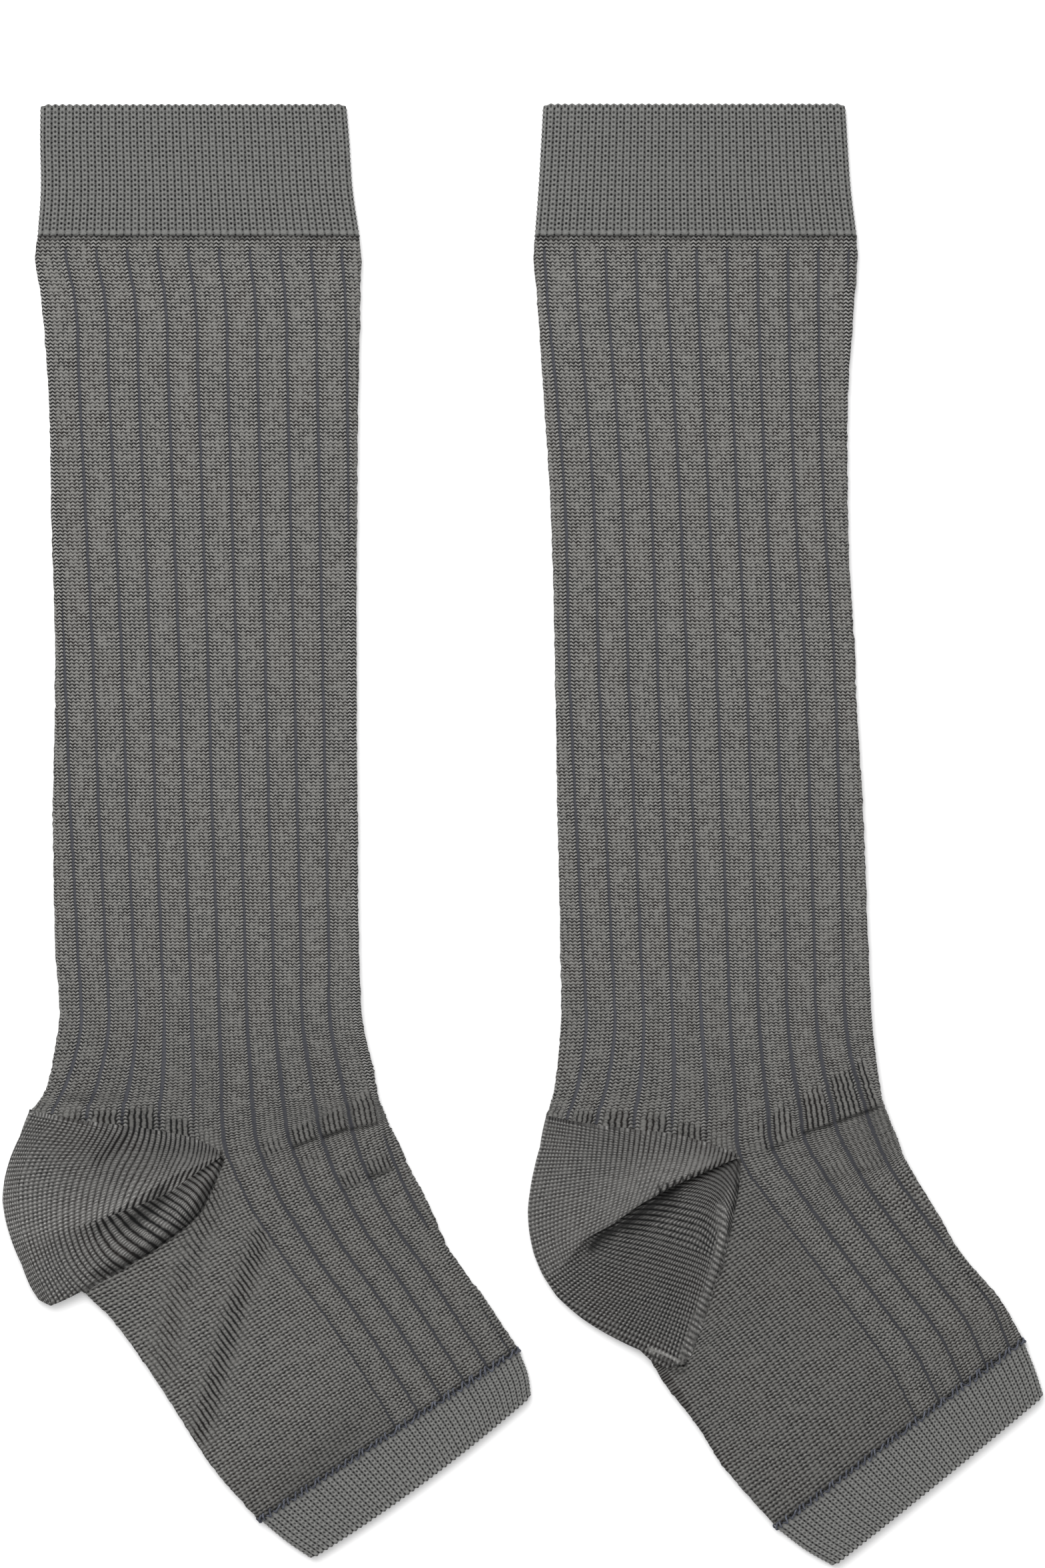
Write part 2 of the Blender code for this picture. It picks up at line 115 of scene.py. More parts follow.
def laid_rings(rows, top_at, top_z, low_at, low_z, ahead, ledge):
    """Rings of a laid-out tube: up its left side, over the top, down the right side and back below. Returns
    the points, how far along the section each lies, the way into the cloth at each, the way down the tube,
    and how far round the tube each one lies, a side or a wall to each whole number."""
    left, right, bow = rows[:, 0:2], rows[:, 2:4], rows[:, 4:5]
    width = np.linalg.norm(right - left, axis=1, keepdims=True)
    along = (right - left) / width
    forward = np.stack([along[:, 1], -along[:, 0]], axis=1)
    if np.dot(forward[0], left[-1] - left[0]) < 0.0:
        forward = -forward
    turns = SIDE_TURNS[None, :]
    left_ends = (top_z[:, :1], low_z[:, -1:], ledge[:, 0:1])
    right_ends = (top_z[:, -1:], low_z[:, :1], ledge[:, 1:2])
    sides = []
    for top, low, out in (left_ends, right_ends):
        at = SIDE - SIDE * np.cos(turns) - out * (turns < 0.0)
        sides.append((at, 0.5 * (top + low) + 0.5 * (top - low) * np.sin(turns)))
    at = np.concatenate([sides[0][0], top_at, width - sides[1][0][:, ::-1], low_at], axis=1)
    height = np.concatenate([sides[0][1], top_z, sides[1][1][:, ::-1], low_z], axis=1)
    top_flat, low_flat = np.zeros(top_at.shape[1]), np.zeros(low_at.shape[1])
    rising, falling = SIDE_TURNS, SIDE_TURNS[::-1]
    in_at = np.concatenate([np.cos(rising), top_flat, -np.cos(falling), low_flat])
    in_z = np.concatenate([-np.sin(rising), top_flat - 1.0, -np.sin(falling), low_flat + 1.0])
    share = np.clip(at / width, 0.0, 1.0)
    push = 4.0 * bow * share * (1.0 - share) + ahead
    plan = left[:, None] + along[:, None] * at[..., None] + forward[:, None] * push[..., None]
    points = np.concatenate([plan, height[..., None]], axis=2)
    in_plan = along[:, None] * in_at[:, None]
    inward = np.concatenate([in_plan, np.broadcast_to(in_z[:, None], (*at.shape, 1))], axis=2)
    ring = (len(rows), len(SIDE_TURNS))
    round_left = np.broadcast_to(np.linspace(0.02, 0.98, ring[1]), ring)
    round_right = np.broadcast_to(np.linspace(2.02, 2.98, ring[1]), ring)
    round_it = np.concatenate([round_left, 1.0 + top_at / width, round_right, 4.0 - low_at / width], axis=1)
    return points, at, inward, forward, round_it


def lining_rings(rows):
    """Rings of the tube's inside, which needs few points because it is hardly seen."""
    left, right = rows[:, 0:2], rows[:, 2:4]
    width = np.linalg.norm(right - left, axis=1, keepdims=True)
    along = (right - left) / width
    room = WALL + 0.5 * SLOT
    across = np.linspace(0.0, 1.0, LINING_COLUMNS)[None, :] * (width - 2.0 * room) + room
    at = np.concatenate([width * 0.0 + WALL, across, width - WALL, across[:, ::-1]], axis=1)
    top = np.full_like(across, WALL + SLOT)
    low = np.full_like(across, WALL)
    middle = np.full_like(width, WALL + 0.5 * SLOT)
    height = np.concatenate([middle, top, middle, low], axis=1)
    round_it = np.concatenate([[0.5], 1.0 + across[0] / width[0], [2.5], 4.0 - across[0, ::-1] / width[0]])
    plan = left[:, None] + along[:, None] * at[..., None]
    return np.concatenate([plan, height[..., None]], axis=2), at, round_it


def grid_faces(ids, closed):
    """Four-sided faces over a grid of point numbers. closed joins its last column to its first."""
    if closed:
        ids = np.hstack([ids, ids[:, :1]])
    corners = (ids[:-1, :-1], ids[:-1, 1:], ids[1:, 1:], ids[1:, :-1])
    return np.stack(corners, axis=-1).reshape(-1, 4).tolist()


def zip_edges(first, first_at, second, second_at, closed, flip):
    """Triangles between two edges with unlike numbers of points, matched by how far along each point lies."""
    first, second = list(first), list(second)
    first_at, second_at = list(first_at), list(second_at)
    if closed:
        first, first_at = first + first[:1], first_at + [4.0 + first_at[0]]
        second, second_at = second + second[:1], second_at + [4.0 + second_at[0]]
    faces = []
    a = b = 0
    while a < len(first) - 1 or b < len(second) - 1:
        if b == len(second) - 1 or (a < len(first) - 1 and first_at[a + 1] <= second_at[b + 1]):
            face = (first[a], first[a + 1], second[b])
            a += 1
        else:
            face = (first[a], second[b + 1], second[b])
            b += 1
        faces.append(face[::-1] if flip else face)
    return faces


def cloth_piece(name, points, faces, stitches, knit, furrow, material, plain=None, charts=None):
    """A mesh with its stitch count as UV map, and with what the knit looks like at each point: how strong its
    courses and wales are, how light it is, where a dropped wale leaves a furrow, and where it is plain. With
    charts, stitches is a list of counts, and charts tells which of them each face follows."""
    mesh = bpy.data.meshes.new(name)
    mesh.from_pydata((points * MM).tolist(), [], faces)
    corner = np.empty(len(mesh.loops), int)
    mesh.loops.foreach_get("vertex_index", corner)
    if charts is None:
        chart = stitches[corner]
    else:
        chosen = np.repeat(charts, [len(face) for face in faces])
        chart = np.array(stitches)[chosen, corner]
    mesh.uv_layers.new(name="stitches").data.foreach_set("uv", chart.astype(np.float32).ravel())
    looks = mesh.attributes.new("knit", "FLOAT_VECTOR", "POINT")
    looks.data.foreach_set("vector", knit.astype(np.float32).ravel())
    plain = np.zeros(len(points)) if plain is None else plain
    for key, values in (("furrow", furrow), ("plain", plain)):
        mesh.attributes.new(key, "FLOAT", "POINT").data.foreach_set("value", values.astype(np.float32))
    mesh.polygons.foreach_set("use_smooth", [True] * len(mesh.polygons))
    mesh.materials.append(material)
    form = bmesh.new()
    form.from_mesh(mesh)
    if form.calc_volume(signed=True) < 0.0:
        bmesh.ops.reverse_faces(form, faces=form.faces)
    form.to_mesh(mesh)
    form.free()
    piece = bpy.data.objects.new(name, mesh)
    bpy.context.scene.collection.objects.link(piece)
    return piece


def cloth_tube(name, rows, top, low, courses, wales, looks, material, ahead=None, ledge=None):
    """A laid-out tube of cloth with its outside, its lining and rounded ends. top and low are distances along
    the sections and heights, wales gives the stitch count for a distance along a section, looks are the knit,
    furrow and plain values, and ledge is how far the lower wall shows past the upper one on each side."""
    side = len(SIDE_TURNS)
    columns = top[0].shape[1] + low[0].shape[1] + 2 * side
    ahead = np.zeros((len(rows), columns)) if ahead is None else ahead
    points, at, inward, forward, round_it = laid_rings(rows, *top, *low, ahead, ledge)
    stitches = np.stack([wales(at), np.broadcast_to(courses[:, None], at.shape)], axis=2)
    rings, ring_stitches = [], []
    for end, way in ((0, -1.0), (-1, 1.0)):
        down = np.concatenate([forward[end], [0.0]])
        for turn in ROLL_TURNS[::-1] if end == 0 else ROLL_TURNS:
            out = down * way * 0.5 * WALL * math.sin(turn)
            rings.append(points[end] + out + inward[end] * 0.5 * WALL * (1.0 - math.cos(turn)))
            ring_stitches.append(stitches[end] + np.array([0.0, way * (turn * 0.5 * WALL / CUFF_ROW)]))
    rolls = len(ROLL_TURNS)

    def with_ends(values):
        """The values, with those of the first and last row repeated round the rolled ends."""
        ends = [np.repeat(row, rolls, axis=0) for row in (values[:1], values[-1:])]
        return np.concatenate([ends[0], values, ends[1]])

    outer = np.concatenate([np.array(rings[:rolls]), points, np.array(rings[rolls:])])
    outer_stitches = np.concatenate([ring_stitches[:rolls], stitches, ring_stitches[rolls:]])
    knit, furrow, plain = (with_ends(values) for values in looks)
    stations = row_stations(rows)
    lining_rows = max(4, int(stations[-1] / LINING_STEP))
    inner_at = np.linspace(LINING_ROOM, stations[-1] - LINING_ROOM, lining_rows)
    inner, lining_at, lining_round = lining_rings(curve_through(stations, rows, inner_at))
    inner_courses = np.interp(inner_at, stations, courses)
    inner_stitches = np.stack([lining_at, np.broadcast_to(inner_courses[:, None], lining_at.shape)], axis=2)
    inner_knit = np.broadcast_to(LINING_KNIT, inner.shape)
    outer_ids = np.arange(outer.shape[0] * columns).reshape(-1, columns)
    inner_ids = outer_ids.size + np.arange(inner.shape[0] * inner.shape[1]).reshape(inner.shape[0], -1)
    faces = grid_faces(outer_ids, True)
    faces += [face[::-1] for face in grid_faces(inner_ids, True)]
    for end, flip in ((0, True), (-1, False)):
        faces += zip_edges(outer_ids[end], round_it[end], inner_ids[end], lining_round, True, flip)
    return cloth_piece(
        name,
        np.concatenate([outer.reshape(-1, 3), inner.reshape(-1, 3)]),
        [face[::-1] for face in faces],
        np.concatenate([outer_stitches.reshape(-1, 2), inner_stitches.reshape(-1, 2)]),
        np.concatenate([knit.reshape(-1, 3), inner_knit.reshape(-1, 3)]),
        np.concatenate([furrow.ravel(), np.zeros(inner_ids.size)]),
        material,
        np.concatenate([plain.ravel(), np.ones(inner_ids.size)]),
    )


def linear(code):
    """Linear colour of an sRGB hex value."""
    shares = [int(code[k : k + 2], 16) / 255.0 for k in (1, 3, 5)]
    return (*[s / 12.92 if s <= 0.04045 else ((s + 0.055) / 1.055) ** 2.4 for s in shares], 1.0)


def add(tree, kind, sockets=(), output=0, **settings):
    """Adds a node with its settings. sockets are its inputs, in order or by number or name: a value, an
    output that feeds it, or None."""
    made = tree.nodes.new("ShaderNode" + kind)
    for setting, value in settings.items():
        setattr(made, setting, value)
    pairs = sockets.items() if isinstance(sockets, dict) else enumerate(sockets)
    for key, value in pairs:
        if isinstance(value, bpy.types.NodeSocket):
            tree.links.new(value, made.inputs[key])
        elif value is not None:
            made.inputs[key].default_value = value
    return made.outputs[output]


def new_cloth(name, roughness):
    """A material with its shader, its UV map split in wales and courses, and the piece's knit attribute."""
    material = bpy.data.materials.new(name)
    material.use_nodes = True
    tree = material.node_tree
    shader = tree.nodes["Principled BSDF"]
    shader.inputs["Roughness"].default_value = roughness
    shader.inputs["Specular IOR Level"].default_value = 0.25
    chart = add(tree, "SeparateXYZ", [add(tree, "UVMap", uv_map="stitches")])
    knit = add(tree, "SeparateXYZ", [add(tree, "Attribute", output=1, attribute_name="knit")])
    return material, tree, shader, chart, chart.node.outputs[1], knit.node.outputs


# Matte nylon and viscose yarn, knitted in an eyelet band. It gives the eye even rows of near-black pinholes
# between smooth light chains, and a softer dimple on each chain. The near-black of the pinholes and the dark
# of the dimples and of the valleys between chains are painted shade.
YARN_LIGHT = "#71716F"
YARN_HOLLOW_SHADE = "#131313"
EYELET_SHADE = "#0C0C0D"
BAND_GRAIN = 2.4  # light and dark spots of the fibres to a mm, coarser than real ones so that they show
band_knit, tree, shader, u, v, knit = new_cloth("eyelet_band_knit", 0.9)
cell_size = (CUFF_WALE, CUFF_ROW, 0.0)
odd = add(tree, "Math", [u, 1.0], operation="PINGPONG")
row = add(tree, "Math", [v, 0.5], operation="PINGPONG")
hole_u = add(tree, "Math", [1.0, odd], operation="SUBTRACT")
hole_v = add(tree, "Math", [0.5, row], operation="SUBTRACT")
hole_place = add(tree, "CombineXYZ", [hole_u, hole_v])
hole_place = add(tree, "VectorMath", [hole_place, cell_size], operation="MULTIPLY")
hole_far = add(tree, "VectorMath", [hole_place], output=1, operation="LENGTH")
hole = add(tree, "MapRange", [hole_far, 0.23, 0.61, 1.0, 0.0], interpolation_type="SMOOTHSTEP")
later = add(tree, "Math", [v, 0.25], operation="ADD")
later = add(tree, "Math", [later, 0.5], operation="PINGPONG")
dimple_v = add(tree, "Math", [0.5, later], operation="SUBTRACT")
dimple_place = add(tree, "CombineXYZ", [odd, dimple_v])
dimple_place = add(tree, "VectorMath", [dimple_place, cell_size], operation="MULTIPLY")
dimple_far = add(tree, "VectorMath", [dimple_place], output=1, operation="LENGTH")
dimple = add(tree, "MapRange", [dimple_far, 0.1, 0.5, 0.75, 0.0], interpolation_type="SMOOTHSTEP")
valley = add(tree, "MapRange", [hole_u, 0.35, 1.0, 0.0, 0.62], interpolation_type="SMOOTHSTEP")
shaded_low_spot = add(tree, "Math", [dimple, valley], operation="ADD")
column = add(tree, "Math", [u, 0.5], operation="MULTIPLY")
cell = add(tree, "VectorMath", [add(tree, "CombineXYZ", [column, v])], operation="FLOOR")
chance = add(tree, "TexWhiteNoise", [cell], noise_dimensions="2D")
depth = add(tree, "MapRange", [chance, 0.0, 1.0, 0.6, 1.0])
hole = add(tree, "Math", [hole, depth], operation="MULTIPLY")
hole = add(tree, "Math", [hole, knit[0]], operation="MULTIPLY")
shaded_low_spot = add(tree, "Math", [shaded_low_spot, knit[1]], operation="MULTIPLY")
place = add(tree, "TexCoord", output=3)
fine = add(tree, "TexNoise", {"Vector": place, "Scale": BAND_GRAIN / MM, "Detail": 1.0})
spread = add(tree, "MapRange", [fine, 0.3, 0.7, -0.2, 0.2])
shaded_low_spot = add(tree, "Math", [shaded_low_spot, spread], operation="ADD", use_clamp=True)
# painted shade: the dimples and the valleys between chains go dark, and the eyelets near-black
yarn = {0: shaded_low_spot, 6: linear(YARN_LIGHT), 7: linear(YARN_HOLLOW_SHADE)}
yarn = add(tree, "Mix", yarn, output=2, data_type="RGBA")
yarn = add(tree, "Mix", {0: hole, 6: yarn, 7: linear(EYELET_SHADE)}, output=2, data_type="RGBA")
yarn = add(tree, "VectorMath", {0: yarn, 3: knit[2]}, operation="SCALE")
tree.links.new(yarn, shader.inputs["Base Color"])
height = add(tree, "Math", [shaded_low_spot, hole], operation="ADD")
height = add(tree, "Math", [1.0, height], operation="SUBTRACT")
bump = add(tree, "Bump", {"Strength": 0.7, "Distance": 0.25 * MM, "Height": height})
tree.links.new(bump, shader.inputs["Normal"])
rough = add(tree, "MapRange", [shaded_low_spot, 0.0, 1.0, 0.82, 0.98])
tree.links.new(rough, shader.inputs["Roughness"])


def eyelet_relief(wales, rows):
    """Height of a band's outside for its stitch counts: columns with a row of eyelets down each."""
    off_middle = np.abs(wales % 2.0 - 1.0)
    far = np.hypot(off_middle * CUFF_WALE, ((rows % 1.0) - 0.5) * CUFF_ROW)
    column = CUFF_COLUMN_LIFT * (1.0 - off_middle**1.5)
    return column - EYELET_DEPTH * np.exp(-((far / EYELET_REACH) ** 2))


def eyelet_band(name, table, wales_across, row_pitch, scallop, tone, holes, plain_rows, join_shade):
    """A knitted band whose last row is its scalloped free edge. tone is how light it is, holes how dark the
    painted shade in its eyelets is, plain_rows how many rows come before them, and join_shade how dark the
    painted shade along the join to the sock is."""
    stations = row_stations(table)
    at = np.linspace(0.0, stations[-1], int(stations[-1] / row_pitch * ROW_STEPS) + 1)
    rows = curve_through(stations, table, at)
    width = np.linalg.norm(rows[:, 2:4] - rows[:, 0:2], axis=1, keepdims=True)
    courses = at / row_pitch
    down = courses[:, None]
    top_counts = np.arange(TOP_STEPS * wales_across + 1) / TOP_STEPS
    low_counts = np.arange(LOW_STEPS * wales_across + 1)[::-1] / LOW_STEPS

    def place(counts):
        return SIDE + (width - 2.0 * SIDE) * counts / wales_across

    def count(along):
        return (along - SIDE) / (width - 2.0 * SIDE) * wales_across

    open_rows = smooth(down, plain_rows, plain_rows + 0.3)
    bumps = PLAIN_ROW_BUMP * np.cos(math.tau * top_counts) * (1.0 - open_rows)
    top_z = BODY + eyelet_relief(top_counts, down) * open_rows + bumps
    low_z = 0.5 * CUFF_COLUMN_LIFT - 0.5 * eyelet_relief(low_counts, down)
    side = np.zeros((len(rows), len(SIDE_TURNS)))
    top_wave, low_wave = np.cos(math.pi * top_counts), np.cos(math.pi * low_counts)
    top_ahead = scallop * (0.5 - 0.5 * top_wave) ** SCALLOP_ROUNDING
    low_ahead = scallop * (0.5 - 0.5 * low_wave) ** SCALLOP_ROUNDING
    edge = smooth(down, courses[-1] - SCALLOP_ROWS, courses[-1])
    ahead = np.concatenate([side, top_ahead * edge, side, low_ahead * edge], axis=1)
    waves = np.concatenate([side[0], top_wave, side[0], low_wave])
    ahead -= 0.5 * scallop * join_shade * waves * np.exp(-((down / JOIN_ROWS) ** 2))
    columns = np.arange(ahead.shape[1])
    reach = 0.45 + 0.2 * np.sin(0.37 * columns) * np.sin(0.11 * columns)
    # painted shade along the join to the sock, of uneven reach
    joined = 1.0 - join_shade * np.exp(-((at[:, None] / reach) ** 2))
    knit = np.broadcast_arrays(holes * open_rows, 0.75 + 0.25 * open_rows, tone * joined)
    none = np.zeros(ahead.shape)
    looks = (np.stack(knit, axis=2), none, none)
    rough_side = np.repeat(0.15 + 0.22 * np.cos(math.tau * down), 2, axis=1)
    top, low = (place(top_counts), top_z), (place(low_counts), low_z)
    return cloth_tube(name, rows, top, low, courses, count, looks, band_knit, ahead, rough_side)


for side_name, table in CUFFS.items():
    measures = (CUFF_WALES, CUFF_ROW, CUFF_SCALLOP)
    finish = {"tone": 1.0, "holes": 1.0, "plain_rows": 1.1, "join_shade": 0.62}
    cuff = eyelet_band(side_name + "_cuff_knit", table, *measures, **finish)
    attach(cuff, "root")
    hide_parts(side_name + "_cuff")

# The legs and feet. Each is one knitted tube of plain stitches, with a dropped wale every sixth one that
# leaves a smooth furrow. The ribs stop behind the heel, so the sole is plain. It lies flat, creased at the
# ankle.
RIB_LIFT = 0.45
RIB_CROWN = 0.14
FURROW_BREADTHS = ((0.0, 240.0, 262.0, 320.0, 390.0), (1.0, 1.05, 1.5, 1.3, 0.9))  # station, how broad it is
SIDE_BUMP = 0.11
LEDGE_BUMP = 0.12
JOIN_TEETH = 0.14  # how far the cuff's columns press into the leg's first rows
JOIN_REACH = 1.6
FURROW_POINTS = ((-0.75, 0.0), (-0.5, 0.5), (-0.3, 1.0), (0.0, 1.0), (0.3, 1.0), (0.5, 0.5), (0.75, 0.0))
LOW_FURROW_POINTS = ((0.7, 0.0), (0.3, 1.0), (-0.3, 1.0), (-0.7, 0.0))
LOW_FURROW_DEPTH = 0.3
RIB_SHARES = (0.17, 0.34, 0.5, 0.66, 0.83)
LOW_RIB_SHARES = (0.65, 0.35)
FIRST_RIB = -6
LAST_RIB = 6
WALES_TO_A_RIB = 6
COLUMN_ROOM = 0.06  # left between two columns where they crowd at a side
EDGE_ROOM = 0.15
HEEL_RIBS_FADE = 25.0  # how far above the ankle the ribs on the heel's side start to fade
FLAT_LOW = 0.15  # height of the underside over the surface, so that the heel's edge has room below it
ANKLE_ROW = 8  # the section at which the ankle starts
FOOT_ROW = 12  # the section at which the ankle ends
LEG_STEP = 1.5
ANKLE_STEP = 0.65
FOOT_ROWS = 92
END_ROWS = (1.5, 1.0, 0.5, 0.0)  # distances of the last rows from the toe
# Sections: left_x, left_y, right_x, right_y, front_furrow, pitch, heel_ribs, and the height of a course.
# front_furrow is how far along the section the furrow lies that runs to the gore tip, and heel_ribs how deep
# the furrows on the heel's side are.
SECTIONS = {
    "left": (
        (-153.9, 189.4, -52.1, 189.4, 47.8, 9.73, 1.0, 1.18),
        (-154.6, 186.0, -51.7, 186.0, 48.4, 9.73, 1.0, 1.18),
        (-152.7, 169.6, -51.7, 169.6, 48.8, 9.52, 1.0, 1.18),
        (-150.6, 142.1, -52.3, 142.1, 47.6, 9.43, 1.0, 1.17),
        (-149.7, 104.1, -52.7, 104.1, 48.0, 9.28, 1.0, 1.15),
        (-148.4, 53.4, -52.9, 53.4, 48.5, 9.09, 1.0, 1.12),
        (-149.1, 2.6, -52.5, 2.6, 50.7, 8.97, 1.0, 1.07),
        (-148.4, -35.4, -52.1, -35.4, 51.4, 8.85, 1.0, 1.02),
        (-147.4, -62.9, -50.8, -59.9, 51.2, 8.79, 1.0, 1.0),
        (-152.0, -81.9, -47.6, -74.5, 56.4, 9.39, 1.0, 0.97),
        (-156.5, -88.6, -46.4, -81.9, 60.9, 9.78, 0.8, 0.95),
        (-153.3, -115.7, -44.7, -86.9, 61.1, 10.12, 0.0, 1.0),
        (-144.8, -136.8, -42.8, -92.0, 60.8, 9.78, 0.0, 1.05),
        (-139.6, -144.2, -40.3, -97.1, 59.3, 9.56, 0.0, 1.1),
        (-130.9, -152.9, -36.7, -105.5, 56.7, 9.11, 0.0, 1.12),
        (-120.8, -166.4, -30.7, -117.0, 55.5, 8.75, 0.0, 1.14),
        (-109.6, -183.3, -24.0, -131.7, 56.1, 8.66, 0.0, 1.14),
        (-98.6, -200.2, -12.8, -146.1, 56.1, 8.64, 0.0, 1.14),
        (-84.3, -216.6, -2.1, -162.2, 52.4, 8.73, 0.0, 1.14),
    ),
    "right": (
        (3.7, 189.4, 105.5, 189.4, 51.0, 9.69, 1.0, 1.18),
        (3.3, 186.0, 105.8, 186.0, 51.5, 9.66, 1.0, 1.18),
        (4.5, 169.6, 104.9, 169.6, 50.9, 9.54, 1.0, 1.18),
        (6.2, 142.1, 103.0, 142.1, 50.6, 9.29, 1.0, 1.17),
        (8.6, 104.1, 102.8, 104.1, 50.2, 9.11, 1.0, 1.15),
        (10.0, 53.4, 104.9, 53.4, 51.2, 9.34, 1.0, 1.12),
        (10.9, 2.6, 107.9, 2.6, 52.3, 9.27, 1.0, 1.07),
        (11.7, -35.4, 109.3, -35.4, 53.0, 9.18, 1.0, 1.02),
        (11.7, -62.9, 110.6, -59.9, 54.0, 9.14, 1.0, 1.0),
        (9.4, -81.9, 112.1, -73.4, 57.5, 9.5, 1.0, 1.0),
        (6.9, -91.4, 113.4, -81.9, 60.7, 10.0, 0.8, 1.0),
        (11.5, -115.7, 115.9, -89.5, 58.8, 10.62, 0.0, 1.03),
        (24.2, -143.2, 118.4, -95.8, 60.1, 9.77, 0.0, 1.06),
        (39.0, -164.3, 121.8, -104.1, 60.0, 9.22, 0.0, 1.08),
        (44.3, -173.2, 129.8, -117.4, 61.2, 9.14, 0.0, 1.12),
        (54.8, -186.7, 138.9, -132.6, 60.6, 9.25, 0.0, 1.14),
        (63.5, -200.2, 149.7, -145.3, 61.2, 9.46, 0.0, 1.14),
        (79.7, -218.7, 158.2, -159.3, 56.0, 9.3, 0.0, 1.14),
    ),
}
# Ladders, where the cloth is creased across a rib and stretched wales stand open above it: the crease from
# left to right, how far the ladder reaches above its left and right end, how much stronger its wales are, how
# light it is, and how high the crease stands up. Below the crease the cloth drops at once, and a line of
# painted shadow lies there, as dark as the crease is high.
LADDERS = {
    "left": (
        (((-82.5, -102.4), (-76.2, -99.2)), 5.0, 5.5, 0.65, 0.85, 0.15),
        (((-73.6, -98.6), (-65.2, -95.2)), 6.0, 6.5, 0.79, 0.75, 0.7),
        (((-64.1, -95.2), (-55.7, -92.4)), 6.0, 8.0, 0.79, 0.72, 0.9),
        (((-55.3, -92.7), (-46.0, -90.8)), 9.0, 13.0, 0.72, 0.78, 0.6),
        (((-70.9, -104.9), (-63.5, -102.6)), 2.8, 3.2, 0.50, 0.85, 0.1),
        (((-57.8, -111.9), (-50.6, -109.8)), 5.5, 6.0, 0.65, 0.82, 0.25),
        (((-49.5, -107.9), (-41.5, -105.5)), 5.0, 6.0, 0.79, 0.75, 0.8),
        (((-92.9, -105.5), (-84.6, -103.2)), 2.0, 1.6, 0.36, 0.9, 0.0),
        (((-113.2, -95.0), (-104.5, -95.4)), 7.0, 6.0, 0.65, 0.82, 0.0),
        (((-125.4, -95.0), (-114.8, -94.6)), 10.0, 10.0, 0.79, 0.75, 0.0),
        (((-137.0, -94.1), (-126.7, -94.6)), 8.0, 8.5, 0.65, 0.82, 0.0),
        (((-147.0, -92.9), (-137.7, -93.7)), 4.0, 6.0, 0.43, 0.86, 0.0),
        (((-145.9, -84.0), (-125.8, -84.4)), 3.0, 3.0, 0.14, 0.78, 0.0),
    ),
    "right": (
        (((76.6, -99.6), (87.6, -94.6)), 9.0, 13.0, 0.8, 0.85, 0.4),
        (((88.2, -93.9), (98.1, -90.8)), 12.0, 15.0, 0.9, 0.85, 0.8),
        (((98.8, -90.5), (112.9, -85.3)), 15.0, 18.0, 0.9, 0.85, 0.8),
        (((93.5, -109.8), (103.4, -106.6)), 4.0, 5.0, 0.50, 0.86, 0.2),
        (((104.5, -106.6), (114.2, -104.5)), 4.0, 4.5, 0.50, 0.86, 0.2),
        (((70.3, -100.1), (78.1, -99.2)), 2.6, 2.6, 0.43, 0.85, 0.0),
        (((48.3, -94.6), (57.6, -97.9)), 5.0, 6.0, 0.58, 0.85, 0.0),
        (((37.3, -93.7), (46.6, -93.9)), 7.0, 7.0, 0.58, 0.84, 0.0),
        (((25.3, -92.9), (34.8, -93.3)), 7.0, 7.0, 0.58, 0.84, 0.0),
        (((15.3, -91.2), (23.3, -92.4)), 5.0, 5.5, 0.50, 0.85, 0.0),
        (((38.6, -166.2), (51.7, -169.6)), 3.0, 3.0, 0.5, 1.1, 0.9),
    ),
}
# Bands on the sole where the wales stand out as slanted lines: the line, half the width, strength and
# lightness.
SOLE_BANDS = {
    "left": (
        (((-83.1, -126.8), (-91.0, -149.5), (-96.2, -168.5), (-102.6, -189.6)), 4.5, 1.0, 0.84),
        ((
            (-97.9, -113.6), (-102.6, -126.3), (-107.9, -141.0), (-112.1, -155.8), (-113.2, -168.5),
        ), 5.2, 0.72, 0.88),
        (((-73.0, -206.5), (-64.6, -198.1), (-56.1, -189.6)), 5.0, 0.1, 0.85),
    ),
    "right": (),
}
# How far the lower wall shows past the upper one: station down the leg, on the left side, on the right side.
LEDGES = {
    "left": (
        (0.0, 0.0, 0.0), (245.0, 0.0, 0.0), (255.0, 0.6, 0.0), (264.0, 0.4, 0.2), (270.0, 0.0, 0.3),
        (300.0, 0.0, 0.5), (350.0, 0.0, 0.8), (385.0, 0.0, 0.0),
    ),
    "right": ((0.0, 0.0, 0.0), (100.0, 0.0, 0.0), (130.0, 0.0, 0.5), (160.0, 0.0, 0.0), (400.0, 0.0, 0.0)),
}
# Lightness of the knit down the leg and foot: station, ribbed side, plain side. The darker first rows are
# painted shade under the cuff's edge.
TONES = {
    "left": (
        (0.0, 0.8, 0.8),
        (3.0, 0.92, 0.92),
        (12.0, 0.97, 1.0),
        (230.0, 0.94, 0.96),
        (262.0, 0.82, 0.85),
        (290.0, 0.72, 0.66),
        (320.0, 0.7, 0.7),
        (370.0, 0.72, 0.72),
        (390.0, 0.7, 0.6),
        (400.0, 0.68, 0.55),
    ),
    "right": (
        (0.0, 0.8, 0.8),
        (3.0, 0.92, 0.92),
        (12.0, 0.97, 1.0),
        (230.0, 0.94, 0.96),
        (262.0, 0.85, 0.88),
        (290.0, 0.71, 0.62),
        (320.0, 0.7, 0.6),
        (370.0, 0.7, 0.63),
        (400.0, 0.67, 0.56),
    ),
}

